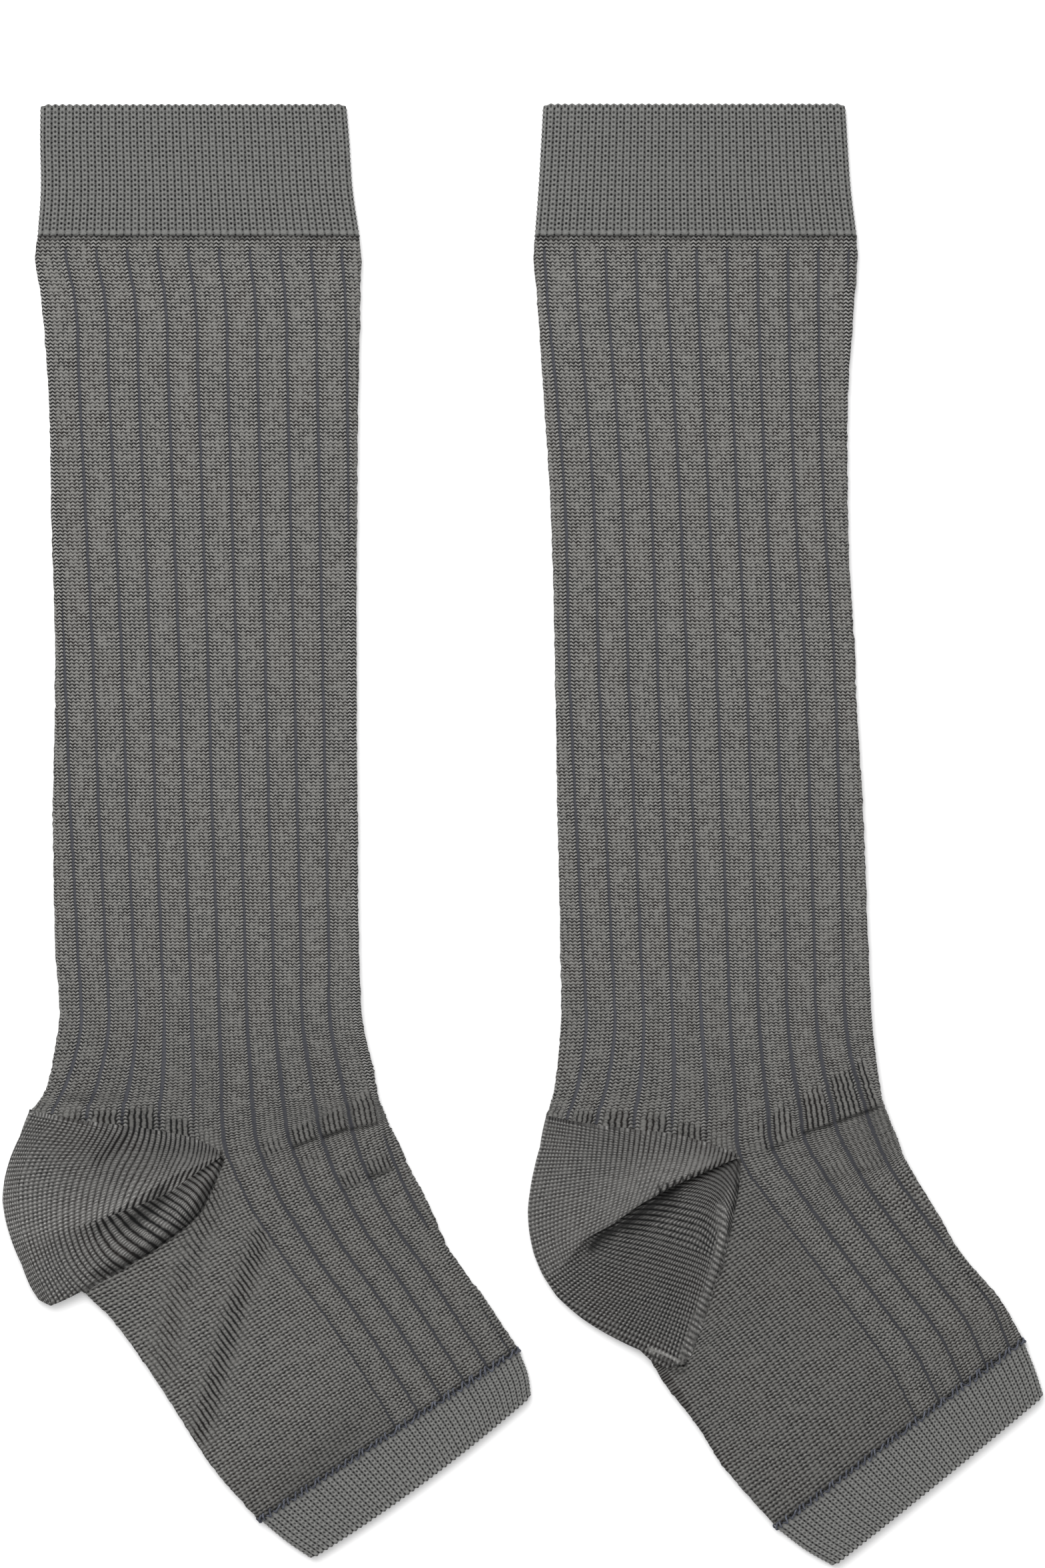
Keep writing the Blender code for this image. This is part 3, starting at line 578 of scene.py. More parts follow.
# The heel's plan on the leg and foot: its gore tip, then its edges as share of the way out, angle of the edge
# on the leg and angle of the edge on the foot, then its outline as angle and radius.
GORES = {"left": (-95.4, -101.5), "right": (67.9, -102.2)}
HEEL_EDGES = {
    "left": (
        (0.03, 152.0, 252.0),
        (0.13, 152.0, 250.0),
        (0.3, 160.0, 247.0),
        (0.5, 164.6, 236.0),
        (0.7, 167.0, 229.5),
        (0.9, 167.6, 225.0),
        (1.0, 167.4, 224.0),
    ),
    "right": (
        (0.03, 156.0, 268.0),
        (0.13, 158.0, 267.0),
        (0.3, 161.0, 262.8),
        (0.5, 165.6, 260.6),
        (0.7, 167.8, 258.0),
        (0.9, 168.5, 256.4),
        (1.0, 168.4, 255.4),
    ),
}
HEEL_OUTLINES = {
    "left": (
        (167.4, 62.8),
        (174.6, 64.5),
        (180.5, 67.2),
        (186.1, 69.5),
        (191.5, 71.2),
        (196.9, 71.8),
        (202.6, 72.1),
        (208.5, 72.3),
        (214.1, 73.4),
        (218.1, 73.6),
        (221.2, 71.9),
        (222.6, 67.0),
        (224.0, 61.8),
    ),
    "right": (
        (168.4, 62.1),
        (176.9, 62.8),
        (183.0, 64.6),
        (188.8, 66.6),
        (194.3, 68.7),
        (199.7, 70.2),
        (205.2, 71.5),
        (211.0, 72.2),
        (217.5, 72.2),
        (225.7, 70.8),
        (237.1, 68.5),
        (243.0, 67.6),
        (248.0, 69.4),
        (252.0, 69.8),
        (255.4, 68.0),
    ),
}
# How far the furrows on the heel's side stand wider at the ankle than their pitch, in ribs, from the
# outermost one.
RIB_SHIFTS = {
    "left": (-0.7, -0.52, -0.36, -0.2, 0.0, 0.09, *[0.0] * 7),
    "right": (-0.4, -0.4, -0.42, -0.22, -0.02, 0.07, *[0.0] * 7),
}


def heel_edge(side_name):
    """Plan line of the heel's edge on the leg, from the outside to the gore tip."""
    gore = GORES[side_name]
    radius = HEEL_OUTLINES[side_name][0][1]
    line = []
    for out, degrees, _ in HEEL_EDGES[side_name][::-1]:
        angle = math.radians(degrees)
        line.append((gore[0] + radius * out * math.cos(angle), gore[1] + radius * out * math.sin(angle)))
    return line + [gore]


def beside(x, y, line):
    """Distance from a given line, above zero on its left as it runs, and how far along it, 0 to 1."""
    best = np.full(x.shape, 1e9)
    share = np.zeros(x.shape)
    lengths = [math.dist(a, b) for a, b in zip(line[:-1], line[1:])]
    run = 0.0
    for (ax, ay), (bx, by), length in zip(line[:-1], line[1:], lengths):
        tx, ty = (bx - ax) / length, (by - ay) / length
        near = np.clip((x - ax) * tx + (y - ay) * ty, 0.0, length)
        far = np.hypot(x - ax - tx * near, y - ay - ty * near)
        closer = far < np.abs(best)
        best = np.where(closer, np.where(tx * (y - ay) >= ty * (x - ax), far, -far), best)
        share = np.where(closer, (run + near) / sum(lengths), share)
        run += length
    return best, share


def ladder_parts(x, y, ladder):
    """How much of a place is in the ladder, how far it is above the crease, and how much is on the crease."""
    line, left_reach, right_reach = ladder[:3]
    far, share = beside(x, y, line)
    ends = smooth(share, 0.0, 0.03) * (1.0 - smooth(share, 0.97, 1.0))
    reach = left_reach + (right_reach - left_reach) * share
    inside = ends * smooth(far, -0.5, 0.1) * (1.0 - smooth(far, 0.7 * reach, reach))
    return inside, far, ends


def crease_lift(x, y, ladders):
    """Rise and drop of the cloth at the ankle's creases."""
    lift = np.zeros(x.shape)
    for ladder in ladders:
        _, far, ends = ladder_parts(x, y, ladder)
        above = np.exp(-((np.maximum(far, 0.0) / (0.5 * ladder[1])) ** 2))
        below = np.exp(-((np.minimum(far, 0.0) / 0.45) ** 2))
        lift += ladder[5] * ends * np.where(far > 0.0, above, below)
        lift -= 0.3 * ladder[5] * ends * np.exp(-(((far + 1.1) / 0.6) ** 2))
    return lift


def leg_stations(stations):
    """How far down the leg and foot each row of the mesh lies. The rows are closer from the ankle on."""
    ankle, foot, toe = stations[ANKLE_ROW], stations[FOOT_ROW], stations[-1]
    stretches = [
        np.arange(0.0, 2.0 * LEG_STEP, LEG_STEP / 3.0),
        np.arange(2.0 * LEG_STEP, ankle, LEG_STEP),
        np.arange(ankle, foot, ANKLE_STEP),
        np.linspace(foot, toe - 2.0, FOOT_ROWS),
        toe - np.array(END_ROWS),
    ]
    return np.concatenate(stretches)


def leg_look(side_name, at, ankle, toe, x, y, place, ribs, front, near_heel, plain):
    """How strong the leg's and foot's courses and wales are, and how light it is, at each point."""
    down = at[:, None]
    tones = np.array(TONES[side_name])
    tone = np.interp(at, tones[:, 0], tones[:, 1])[:, None] * (1.0 - plain)
    tone = tone + np.interp(at, tones[:, 0], tones[:, 2])[:, None] * plain
    uneven = 0.75 + 0.25 * np.sin(0.31 * place + 0.9 * np.sin(0.13 * place))
    near_join = np.exp(-((down / 0.8) ** 2)) * uneven
    near_toe = np.exp(-(((toe - down) / 1.1) ** 2))
    wale = 0.2 - 0.08 * plain + 0.25 * near_join
    course = np.ones_like(plain)
    # painted shade under the cuff's edge
    tone = tone * (1.0 - 0.62 * near_join)
    # painted shade where the foot meets the raised toe seam
    tone = tone * (1.0 - 0.35 * near_toe)
    share = ribs % 1.0
    ribbed = np.where(place < front, 1.0 - near_heel, 1.0) * (1.0 - plain)
    # painted light and shade: each rib lighter on its crown and darker towards the furrows, as if rounded
    tone = tone * (1.0 + ribbed * (0.3 * np.sqrt(4.0 * share * (1.0 - share)) - 0.22))
    edge_far, _ = beside(x, y, heel_edge(side_name))
    above_heel = np.where((place < front) & (edge_far > -0.5), np.exp(-((edge_far / 5.5) ** 4)), 0.0)
    above_heel = above_heel * (0.8 + 0.2 * np.sin(0.5 * place)) * (down > ankle)
    wale = wale + 0.45 * above_heel
    course = course * (1.0 - 0.65 * above_heel)
    tone = tone * (1.0 - 0.08 * above_heel)
    for ladder in LADDERS[side_name]:
        inside, far, ends = ladder_parts(x, y, ladder)
        wale = wale + ladder[3] * inside
        course = course * (1.0 - min(0.8, ladder[3]) * inside)
        tone = tone * (1.0 - (1.0 - ladder[4]) * inside)
        # painted shadow in a line just below the crease
        tone = tone * (1.0 - 0.7 * ladder[5] * ends * np.exp(-(((far + 0.55) / 0.6) ** 2)))
    for line, half, strength, light in SOLE_BANDS[side_name]:
        far, _ = beside(x, y, line)
        patch = np.exp(-((far / half) ** 2)) * plain
        wale = wale + strength * patch
        course = course * (1.0 - 0.8 * strength * patch)
        tone = tone * (1.0 - (1.0 - light) * patch)
    return np.stack([course, np.clip(wale, 0.0, 1.2), tone], axis=2)


def leg_tube(side_name, material):
    """The leg and foot as one tube, before the heel's opening is cut."""
    table = np.array(SECTIONS[side_name])
    stations = row_stations(table)
    ankle = stations[ANKLE_ROW]
    at = leg_stations(stations)
    down = at[:, None]
    rows = curve_through(stations, table, at)
    rows[:, 6] = np.clip(np.interp(at, stations, table[:, 6]), 0.0, 1.0)
    rng = np.random.default_rng(7)
    rows[:, 0] += SIDE_BUMP * rng.standard_normal(len(rows))
    rows[:, 2] += SIDE_BUMP * rng.standard_normal(len(rows))
    broad = np.interp(at, *FURROW_BREADTHS)[:, None]
    width = np.linalg.norm(rows[:, 2:4] - rows[:, 0:2], axis=1, keepdims=True)
    front, pitch, heel_ribs = rows[:, 4:5], rows[:, 5:6], rows[:, 6:7]
    courses = np.cumsum(np.diff(at) / (0.5 * (rows[1:, 7] + rows[:-1, 7])))
    courses = np.concatenate([[0.0], courses])
    shift = smooth(down, ankle - 5.0, ankle + 28.0)
    near_heel = smooth(down, ankle - HEEL_RIBS_FADE, ankle - 5.0)
    numbers = np.arange(FIRST_RIB, LAST_RIB + 1)
    ribs_at = front + (numbers + shift * np.array(RIB_SHIFTS[side_name])) * pitch
    flat = np.zeros_like(front)
    whole = np.ones_like(front)

    def rib_count(place):
        return np.stack([np.interp(row, line, numbers) for row, line in zip(place, ribs_at)])

    def rib_at(k):
        low = min(int(math.floor(k)), LAST_RIB - 1) - FIRST_RIB
        part = k - FIRST_RIB - low
        return (ribs_at[:, low] * (1.0 - part) + ribs_at[:, low + 1] * part)[:, None]

    def wall(furrow_points, shares, order):
        """The columns of one wall in order: place, how deep in a furrow and how far up a rib each is."""
        backwards = order[0] > order[-1]
        columns = []
        for index in order:
            strength, rib = (heel_ribs, 1.0 - near_heel) if index < 0 else (whole, whole)
            swell = 0.93 + 0.13 * np.sin(0.19 * at + 1.9 * index) * np.sin(0.061 * at + 0.7 * index)
            breadth = broad * swell[:, None]
            parts = [(rib_at(index) + off * breadth, part * strength, flat) for off, part in furrow_points]
            parts += [(rib_at(index + share), flat, 4.0 * share * (1.0 - share) * rib) for share in shares]
            columns += sorted(parts, key=lambda part: part[0][0, 0], reverse=backwards)
        place, deep, crown = (np.concatenate(part, axis=1) for part in zip(*columns))
        count = place.shape[1]
        number = np.arange(count)[::-1] if backwards else np.arange(count)
        lowest = SIDE + EDGE_ROOM + COLUMN_ROOM * number
        highest = width - SIDE - EDGE_ROOM - COLUMN_ROOM * (count - 1 - number)
        kept = np.minimum(np.maximum(place, lowest), highest)
        from_side = np.minimum(kept, width - kept)
        inside = smooth(from_side, SIDE + 0.6, SIDE + 1.6) * (np.abs(kept - place) < 1e-6)
        return kept, deep * inside, crown * inside

    along = (rows[:, 2:4] - rows[:, 0:2]) / width

    def plan(place):
        return rows[:, 0:1] + along[:, 0:1] * place, rows[:, 1:2] + along[:, 1:2] * place

    def off_sides(place):
        return smooth(np.minimum(place, width - place), SIDE, SIDE + 3.0)

    order = list(range(FIRST_RIB, LAST_RIB))
    top_at, top_deep, top_crown = wall(FURROW_POINTS, RIB_SHARES, order)
    low_at, low_deep, _ = wall(LOW_FURROW_POINTS, LOW_RIB_SHARES, order[::-1])
    heel_far, _ = beside(*plan(top_at), heel_edge(side_name))
    behind = (top_at < front) & (down > ankle - HEEL_RIBS_FADE)
    top_deep = top_deep * np.where(behind, smooth(heel_far, 0.2, 1.2), 1.0)
    top_deep = top_deep * smooth(down, 1.5, 4.5)
    lift = crease_lift(*plan(top_at), LADDERS[side_name]) * off_sides(top_at)
    join = np.exp(-((down / JOIN_REACH) ** 2))
    slow_wave = np.cos(0.37 * math.pi * CUFF_WALES * top_at / width)
    teeth = np.cos(math.pi * CUFF_WALES * top_at / width) + 0.6 * slow_wave
    top_z = BODY + RIB_LIFT * (1.0 - top_deep) + RIB_CROWN * top_crown + lift + JOIN_TEETH * join * teeth
    low_lift = np.maximum(crease_lift(*plan(low_at), LADDERS[side_name]), 0.0) * off_sides(low_at)
    low_z = FLAT_LOW + LOW_FURROW_DEPTH * low_deep + 0.5 * low_lift
    side = np.zeros((len(rows), len(SIDE_TURNS)))
    furrow = np.concatenate([side, top_deep, side, low_deep], axis=1)
    place = np.concatenate([side, top_at, side + width, low_at], axis=1)
    plain = smooth(front - place, -0.5, 0.5) * (1.0 - smooth(heel_ribs, 0.0, 0.6))
    ribs = rib_count(place)
    knit = leg_look(side_name, at, ankle, stations[-1], *plan(place), place, ribs, front, near_heel, plain)
    ledges = np.array(LEDGES[side_name])
    ledge = np.stack([np.interp(at, ledges[:, 0], ledges[:, k]) for k in (1, 2)], axis=1)
    ledge += LEDGE_BUMP * rng.standard_normal(ledge.shape)
    return cloth_tube(
        side_name + "_leg_foot_knit",
        np.pad(rows[:, :4], ((0, 0), (0, 1))),
        (top_at, top_z),
        (low_at, low_z),
        courses,
        lambda place: WALES_TO_A_RIB * rib_count(place),
        (knit, furrow, np.maximum(plain, 0.6 * smooth(down, ankle + 15.0, ankle + 60.0))),
        material,
        ledge=ledge,
    )


# Fine matte yarn in plain knit. It gives the eye light wavy courses with dark lines between, a peak to each
# wale, and smooth slate furrows with a row of light and dark dots down each side. The dark lines and gaps
# between the loops are painted shade, the bright strokes and beads on the loops painted highlights, and
# the light and dark dots beside the furrows painted highlight and painted shade.
SLATE = "#47484E"
WARM_DARK = "#1F1815"
# colour of the painted highlights on the loops and beside the furrows
GLINT = "#9A9997"
PLAIN_GRAIN = 1.9  # spots of the fibres to a mm, coarser than real ones so that they show
DYE_GRAIN = 0.06  # warm clouds of the dye to a mm
WEAR_GRAIN = 0.42  # lighter and darker clouds to a mm


def plain_knit(name, light, dark, gap_breadth):
    """Plain knit of this yarn, with light as the yarn's colour and dark as the painted shade in the gaps
    between its loops. gap_breadth is how broad the dark lines between its wales are at the least.
    """
    material, tree, shader, u, v, knit = new_cloth(name, 0.9)
    place = add(tree, "TexCoord", output=3)
    wale = add(tree, "Math", [u, 0.5], operation="PINGPONG")
    wale = add(tree, "Math", [wale, 2.0], operation="MULTIPLY")
    plain = add(tree, "Attribute", output=2, attribute_name="plain")
    tall = add(tree, "MapRange", [plain, 0.0, 1.0, 0.5, 0.22])
    peak = add(tree, "Math", [wale, tall, v], operation="MULTIPLY_ADD")
    course = add(tree, "Math", [peak, 0.5], operation="PINGPONG")
    course = add(tree, "Math", [course, 2.0], operation="MULTIPLY")
    # painted shade: dark lines in the gaps between courses, and further down between wales
    line = add(tree, "MapRange", [course, 0.05, 0.88, 1.05, 0.0], interpolation_type="SMOOTHSTEP")
    flat = add(tree, "MapRange", [plain, 0.0, 1.0, 0.65, 0.5])
    valley = add(tree, "MapRange", {0: wale, 3: 1.0, 4: flat})
    line = add(tree, "Math", [line, valley], operation="MULTIPLY")
    line = add(tree, "Math", [line, knit[0]], operation="MULTIPLY")
    gap_reach = add(tree, "Math", [knit[1], 0.2, gap_breadth], operation="MULTIPLY_ADD")
    gap = add(tree, "MapRange", [wale, 0.0, gap_reach, 1.05, 0.0], interpolation_type="SMOOTHSTEP")
    gap = add(tree, "Math", [gap, knit[1]], operation="MULTIPLY")
    shaded_low_spot = add(tree, "Math", [line, gap], operation="MAXIMUM")
    both = add(tree, "Math", [line, gap], operation="MULTIPLY")
    shaded_low_spot = add(tree, "Math", [both, 0.4, shaded_low_spot], operation="MULTIPLY_ADD")
    cell = add(tree, "VectorMath", [add(tree, "CombineXYZ", [u, peak])], operation="FLOOR")
    chance = add(tree, "TexWhiteNoise", [cell], noise_dimensions="2D")
    uneven = add(tree, "MapRange", [plain, 0.0, 1.0, 0.48, 0.34])
    spread = add(tree, "Math", [chance, 0.5], operation="SUBTRACT")
    shaded_low_spot = add(tree, "Math", [spread, uneven, shaded_low_spot], operation="MULTIPLY_ADD")
    fine = add(tree, "TexNoise", {"Vector": place, "Scale": PLAIN_GRAIN / MM, "Detail": 1.0})
    fine = add(tree, "MapRange", [fine, 0.3, 0.7, -0.5, 0.5])
    shaded_low_spot = add(tree, "Math", [fine, uneven, shaded_low_spot], operation="MULTIPLY_ADD", use_clamp=True)
    # painted highlights on the slanted strokes of the loops and on their beads
    turn = add(tree, "Math", [u], operation="FRACT")
    turn = add(tree, "MapRange", [turn, 0.15, 0.5, 0.0, 1.0], interpolation_type="SMOOTHSTEP")
    turn = add(tree, "Math", [turn, wale], operation="MULTIPLY")
    middle = add(tree, "MapRange", [course, 0.45, 1.0, 0.0, 1.0], interpolation_type="SMOOTHSTEP")
    glint = add(tree, "Math", [turn, middle], operation="MULTIPLY")
    glint = add(tree, "Math", [glint, chance], operation="MULTIPLY")
    glint = add(tree, "Math", [glint, knit[0]], operation="MULTIPLY", use_clamp=True)
    bead_highlight = add(tree, "MapRange", [wale, 0.35, 1.0, 0.0, 1.0], interpolation_type="SMOOTHSTEP")
    bead_highlight = add(tree, "Math", [bead_highlight, middle], operation="MULTIPLY")
    bead_highlight = add(tree, "Math", [bead_highlight, plain], operation="MULTIPLY")
    glint = add(tree, "Math", [bead_highlight, 0.6, glint], operation="MULTIPLY_ADD", use_clamp=True)
    warm = add(tree, "TexNoise", {"Vector": place, "Scale": DYE_GRAIN / MM, "Detail": 2.0})
    warm = add(tree, "MapRange", [warm, 0.4, 0.65, 0.0, 0.6])
    shade = add(tree, "Mix", {0: warm, 6: linear(dark), 7: linear(WARM_DARK)}, output=2, data_type="RGBA")
    yarn = add(tree, "Mix", {0: shaded_low_spot, 6: linear(light), 7: shade}, output=2, data_type="RGBA")
    yarn = add(tree, "Mix", {0: glint, 6: yarn, 7: linear(GLINT)}, output=2, data_type="RGBA")
    furrow_place = add(tree, "Attribute", output=2, attribute_name="furrow")
    ragged = add(tree, "MapRange", [course, 0.0, 1.0, 0.62, 0.3])
    ragged_end = add(tree, "Math", [ragged, 0.3], operation="ADD")
    limits = [furrow_place, ragged, ragged_end, 0.0, 1.0]
    furrow = add(tree, "MapRange", limits, interpolation_type="SMOOTHSTEP")
    smooth_yarn = add(tree, "Math", [furrow, 0.92], operation="MULTIPLY")
    yarn = add(tree, "Mix", {0: smooth_yarn, 6: yarn, 7: linear(SLATE)}, output=2, data_type="RGBA")
    rest = add(tree, "Math", [1.0, furrow], operation="SUBTRACT")
    # painted highlight and painted shade: light and dark dots down the sides of each furrow
    lit_dots = add(tree, "MapRange", [course, 0.4, 0.9, 0.0, 0.85], interpolation_type="SMOOTHSTEP")
    lit_dots = add(tree, "Math", [lit_dots, rest], operation="MULTIPLY")
    ribbed = add(tree, "Math", [1.0, plain], operation="SUBTRACT")
    lit_dots = add(tree, "Math", [lit_dots, ribbed], operation="MULTIPLY")
    across = add(tree, "Math", [u, 1.0 / WALES_TO_A_RIB], operation="MULTIPLY")
    across = add(tree, "Math", [across], operation="FRACT")
    right = add(tree, "MapRange", [across, 0.12, 0.18, 1.0, 0.0], interpolation_type="SMOOTHSTEP")
    left = add(tree, "MapRange", [across, 0.82, 0.89, 0.0, 1.0], interpolation_type="SMOOTHSTEP")
    shaded_pits = add(tree, "MapRange", [course, 0.25, 0.6, 0.9, 0.0], interpolation_type="SMOOTHSTEP")
    shaded_pits = add(tree, "Math", [shaded_pits, rest], operation="MULTIPLY")
    shaded_pits = add(tree, "Math", [shaded_pits, ribbed], operation="MULTIPLY")
    sides = add(tree, "Math", [right, left], operation="ADD")
    shade_dot = add(tree, "Math", [shaded_pits, sides], operation="MULTIPLY", use_clamp=True)
    lit = add(tree, "Math", [right, 0.45, left], operation="MULTIPLY_ADD")
    highlight_dot = add(tree, "Math", [lit_dots, lit], operation="MULTIPLY", use_clamp=True)
    yarn = add(tree, "Mix", {0: shade_dot, 6: yarn, 7: linear(dark)}, output=2, data_type="RGBA")
    yarn = add(tree, "Mix", {0: highlight_dot, 6: yarn, 7: linear(GLINT)}, output=2, data_type="RGBA")
    cloud = add(tree, "TexNoise", {"Vector": place, "Scale": WEAR_GRAIN / MM, "Detail": 3.0})
    cloud = add(tree, "MapRange", [cloud, 0.3, 0.7, 0.93, 1.07])
    tone = add(tree, "Math", [cloud, knit[2]], operation="MULTIPLY")
    yarn = add(tree, "VectorMath", {0: yarn, 3: tone}, operation="SCALE")
    tree.links.new(yarn, shader.inputs["Base Color"])
    smooth_part = add(tree, "Math", [shaded_low_spot, rest], operation="MULTIPLY")
    height = add(tree, "Math", [1.0, smooth_part], operation="SUBTRACT")
    bump = add(tree, "Bump", {"Strength": 0.8, "Distance": 0.22 * MM, "Height": height})
    tree.links.new(bump, shader.inputs["Normal"])
    rough = add(tree, "MapRange", [shaded_low_spot, 0.0, 1.0, 0.82, 0.97])
    tree.links.new(rough, shader.inputs["Roughness"])
    return material


rib_knit = plain_knit("plain_and_rib_knit", "#767572", "#141414", 0.55)

# The heels. Each is a pocket of plain knit between the leg and the foot. Laid flat, it is folded over
# towards the sole, so its upper wall stands up in a fold and its wales turn in arcs around the gore tip.
# Folds, from the leg edge to the foot edge: share of the way round, how far the cloth doubles back there,
# then its lift near the gore tip, half way out and far out.
HEEL_FOLDS = {
    "left": (
        (0.0, 0.0, 0.6, 0.6, 0.5),
        (0.08, 0.0, 0.5, 0.5, 0.4),
        (0.2, 0.0, 0.55, 0.5, 0.35),
        (0.34, 0.0, 0.7, 0.55, 0.3),
        (0.46, 0.0, 1.1, 0.8, 0.3),
        (0.55, 0.0, 1.6, 1.5, 0.35),
        (0.61, 0.0, 2.0, 2.1, 0.4),
        (0.645, 0.0, 1.7, 1.8, 0.45),
        (0.69, 0.0, 1.2, 1.2, 0.5),
        (0.76, 0.0, 1.6, 1.7, 0.7),
        (0.85, 0.0, 2.0, 2.2, 1.0),
        (0.92, 0.004, 2.0, 2.3, 1.2),
        (0.965, 0.016, 1.6, 1.9, 1.1),
        (0.985, 0.022, 1.2, 1.4, 0.9),
        (0.995, 0.012, 0.8, 0.9, 0.7),
        (1.0, 0.0, 0.6, 0.6, 0.6),
    ),
    "right": (
        (0.0, 0.0, 0.6, 0.6, 0.5),
        (0.06, 0.0, 0.5, 0.5, 0.35),
        (0.16, 0.0, 0.7, 0.6, 0.3),
        (0.28, 0.0, 1.0, 0.9, 0.3),
        (0.38, 0.0, 1.5, 1.6, 0.25),
        (0.45, 0.0, 1.9, 2.3, 0.2),
        (0.48, 0.01, 2.05, 2.55, 0.2),
        (0.495, 0.02, 2.0, 2.5, 0.2),
        (0.502, 0.022, 1.7, 2.15, 0.2),
        (0.506, 0.0, 1.2, 1.4, 0.2),
        (0.51, -0.035, 0.8, 0.9, 0.2),
        (0.515, -0.04, 0.5, 0.55, 0.2),
        (0.53, -0.02, 0.4, 0.5, 0.25),
        (0.56, 0.0, 0.4, 0.6, 0.35),
        (0.64, 0.0, 0.7, 1.0, 0.6),
        (0.74, 0.0, 1.1, 1.5, 1.0),
        (0.85, 0.0, 1.5, 2.1, 1.7),
        (0.92, 0.0, 1.8, 2.4, 2.0),
        (0.965, 0.004, 1.5, 2.1, 1.8),
        (0.985, 0.01, 1.1, 1.5, 1.3),
        (0.995, 0.006, 0.8, 0.9, 0.8),
        (1.0, 0.0, 0.6, 0.6, 0.6),
    ),
}
FOLD_STATIONS = (0.12, 0.55, 0.96)
LEG_SKIN = BODY + RIB_LIFT
LIP = 0.08  # how far the heel's edge stands over the cloth that it laps
# The heel's edge where it laps the leg or the foot: distance past the edge, height over the cloth beside it.
LAP = (
    (-0.5, -1.0),
    (-0.25, -0.6),
    (-0.05, -0.1),
    (0.05, 0.02),
    (0.8, 0.02),
    (0.95, 0.04),
    (0.85, 0.07),
    (0.4, LIP),
)
HEEL_WALE = 1.7
HEEL_COURSE = 0.02  # radians, wider in the inner zone, where courses are dropped
INNER_ZONE = 0.5
INNER_COURSES = 0.55  # how many of the courses are left there
FOLD_RIDGE = {"left": 0.63, "right": 0.503}
# How far the heel's folds swing towards the leg: share of the way out, and share of the way round.
FOLD_SWINGS = {
    "left": ((0.0, 0.0), (1.0, 0.0)),
    "right": ((0.0, -0.1), (0.5, -0.105), (0.78, -0.055), (0.95, 0.0)),
}
HEEL_GROW = 0.3
CUT_HEIGHTS = (-4.0, 12.0)  # the opening is cut from below the leg to above it
HEEL_CORDS = {"left": 0.72, "right": 0.52}  # how strong the wales of the upper wall are
HEEL_FOLD_KNIT = {"left": (0.95, 0.5), "right": (0.74, 0.86)}  # strength of wales and courses below the fold
HEEL_CORD_LIFT = 0.17
HEEL_BAR_LIFT = 0.2
HEEL_COLUMNS = 150
HEEL_LOW_COLUMNS = 40
HEEL_ROWS = 190
HEEL_RIM = np.radians((72.0, 54.0, 36.0, 18.0, 0.0, -18.0, -36.0, -54.0, -72.0))
HEEL_LINING_ROWS = 16
HEEL_LINING_COLUMNS = 10
# Lightness of the heel: share of the way round, near the gore tip, half way out and far out. Its darkest
# rows are painted shade: in the valley below the left heel's ridge, under the right heel's fold, and where
# each heel rolls under at the foot.
HEEL_TONES = {
    "left": (
        (0.0, 0.78, 0.74, 0.8),
        (0.15, 0.62, 0.62, 0.8),
        (0.4, 0.72, 0.78, 1.0),
        (0.55, 0.85, 0.95, 1.02),
        (0.61, 1.05, 1.05, 1.02),
        (0.66, 0.75, 0.65, 0.95),
        (0.72, 0.62, 0.55, 0.92),
        (0.8, 0.75, 0.75, 0.9),
        (0.9, 0.85, 0.8, 0.85),
        (0.96, 0.7, 0.7, 0.85),
        (1.0, 0.4, 0.4, 0.6),
    ),
    "right": (
        (0.0, 0.75, 0.68, 0.7),
        (0.1, 0.78, 0.72, 0.78),
        (0.3, 0.8, 0.78, 0.82),
        (0.44, 0.84, 0.86, 0.82),
        (0.5, 0.84, 0.84, 0.78),
        (0.506, 0.3, 0.2, 0.75),
        (0.53, 0.2, 0.16, 0.72),
        (0.56, 0.5, 0.5, 0.7),
        (0.7, 0.64, 0.62, 0.62),
        (0.88, 0.64, 0.62, 0.62),
        (0.95, 0.72, 0.72, 0.7),
        (1.0, 0.4, 0.45, 0.6),
    ),
}
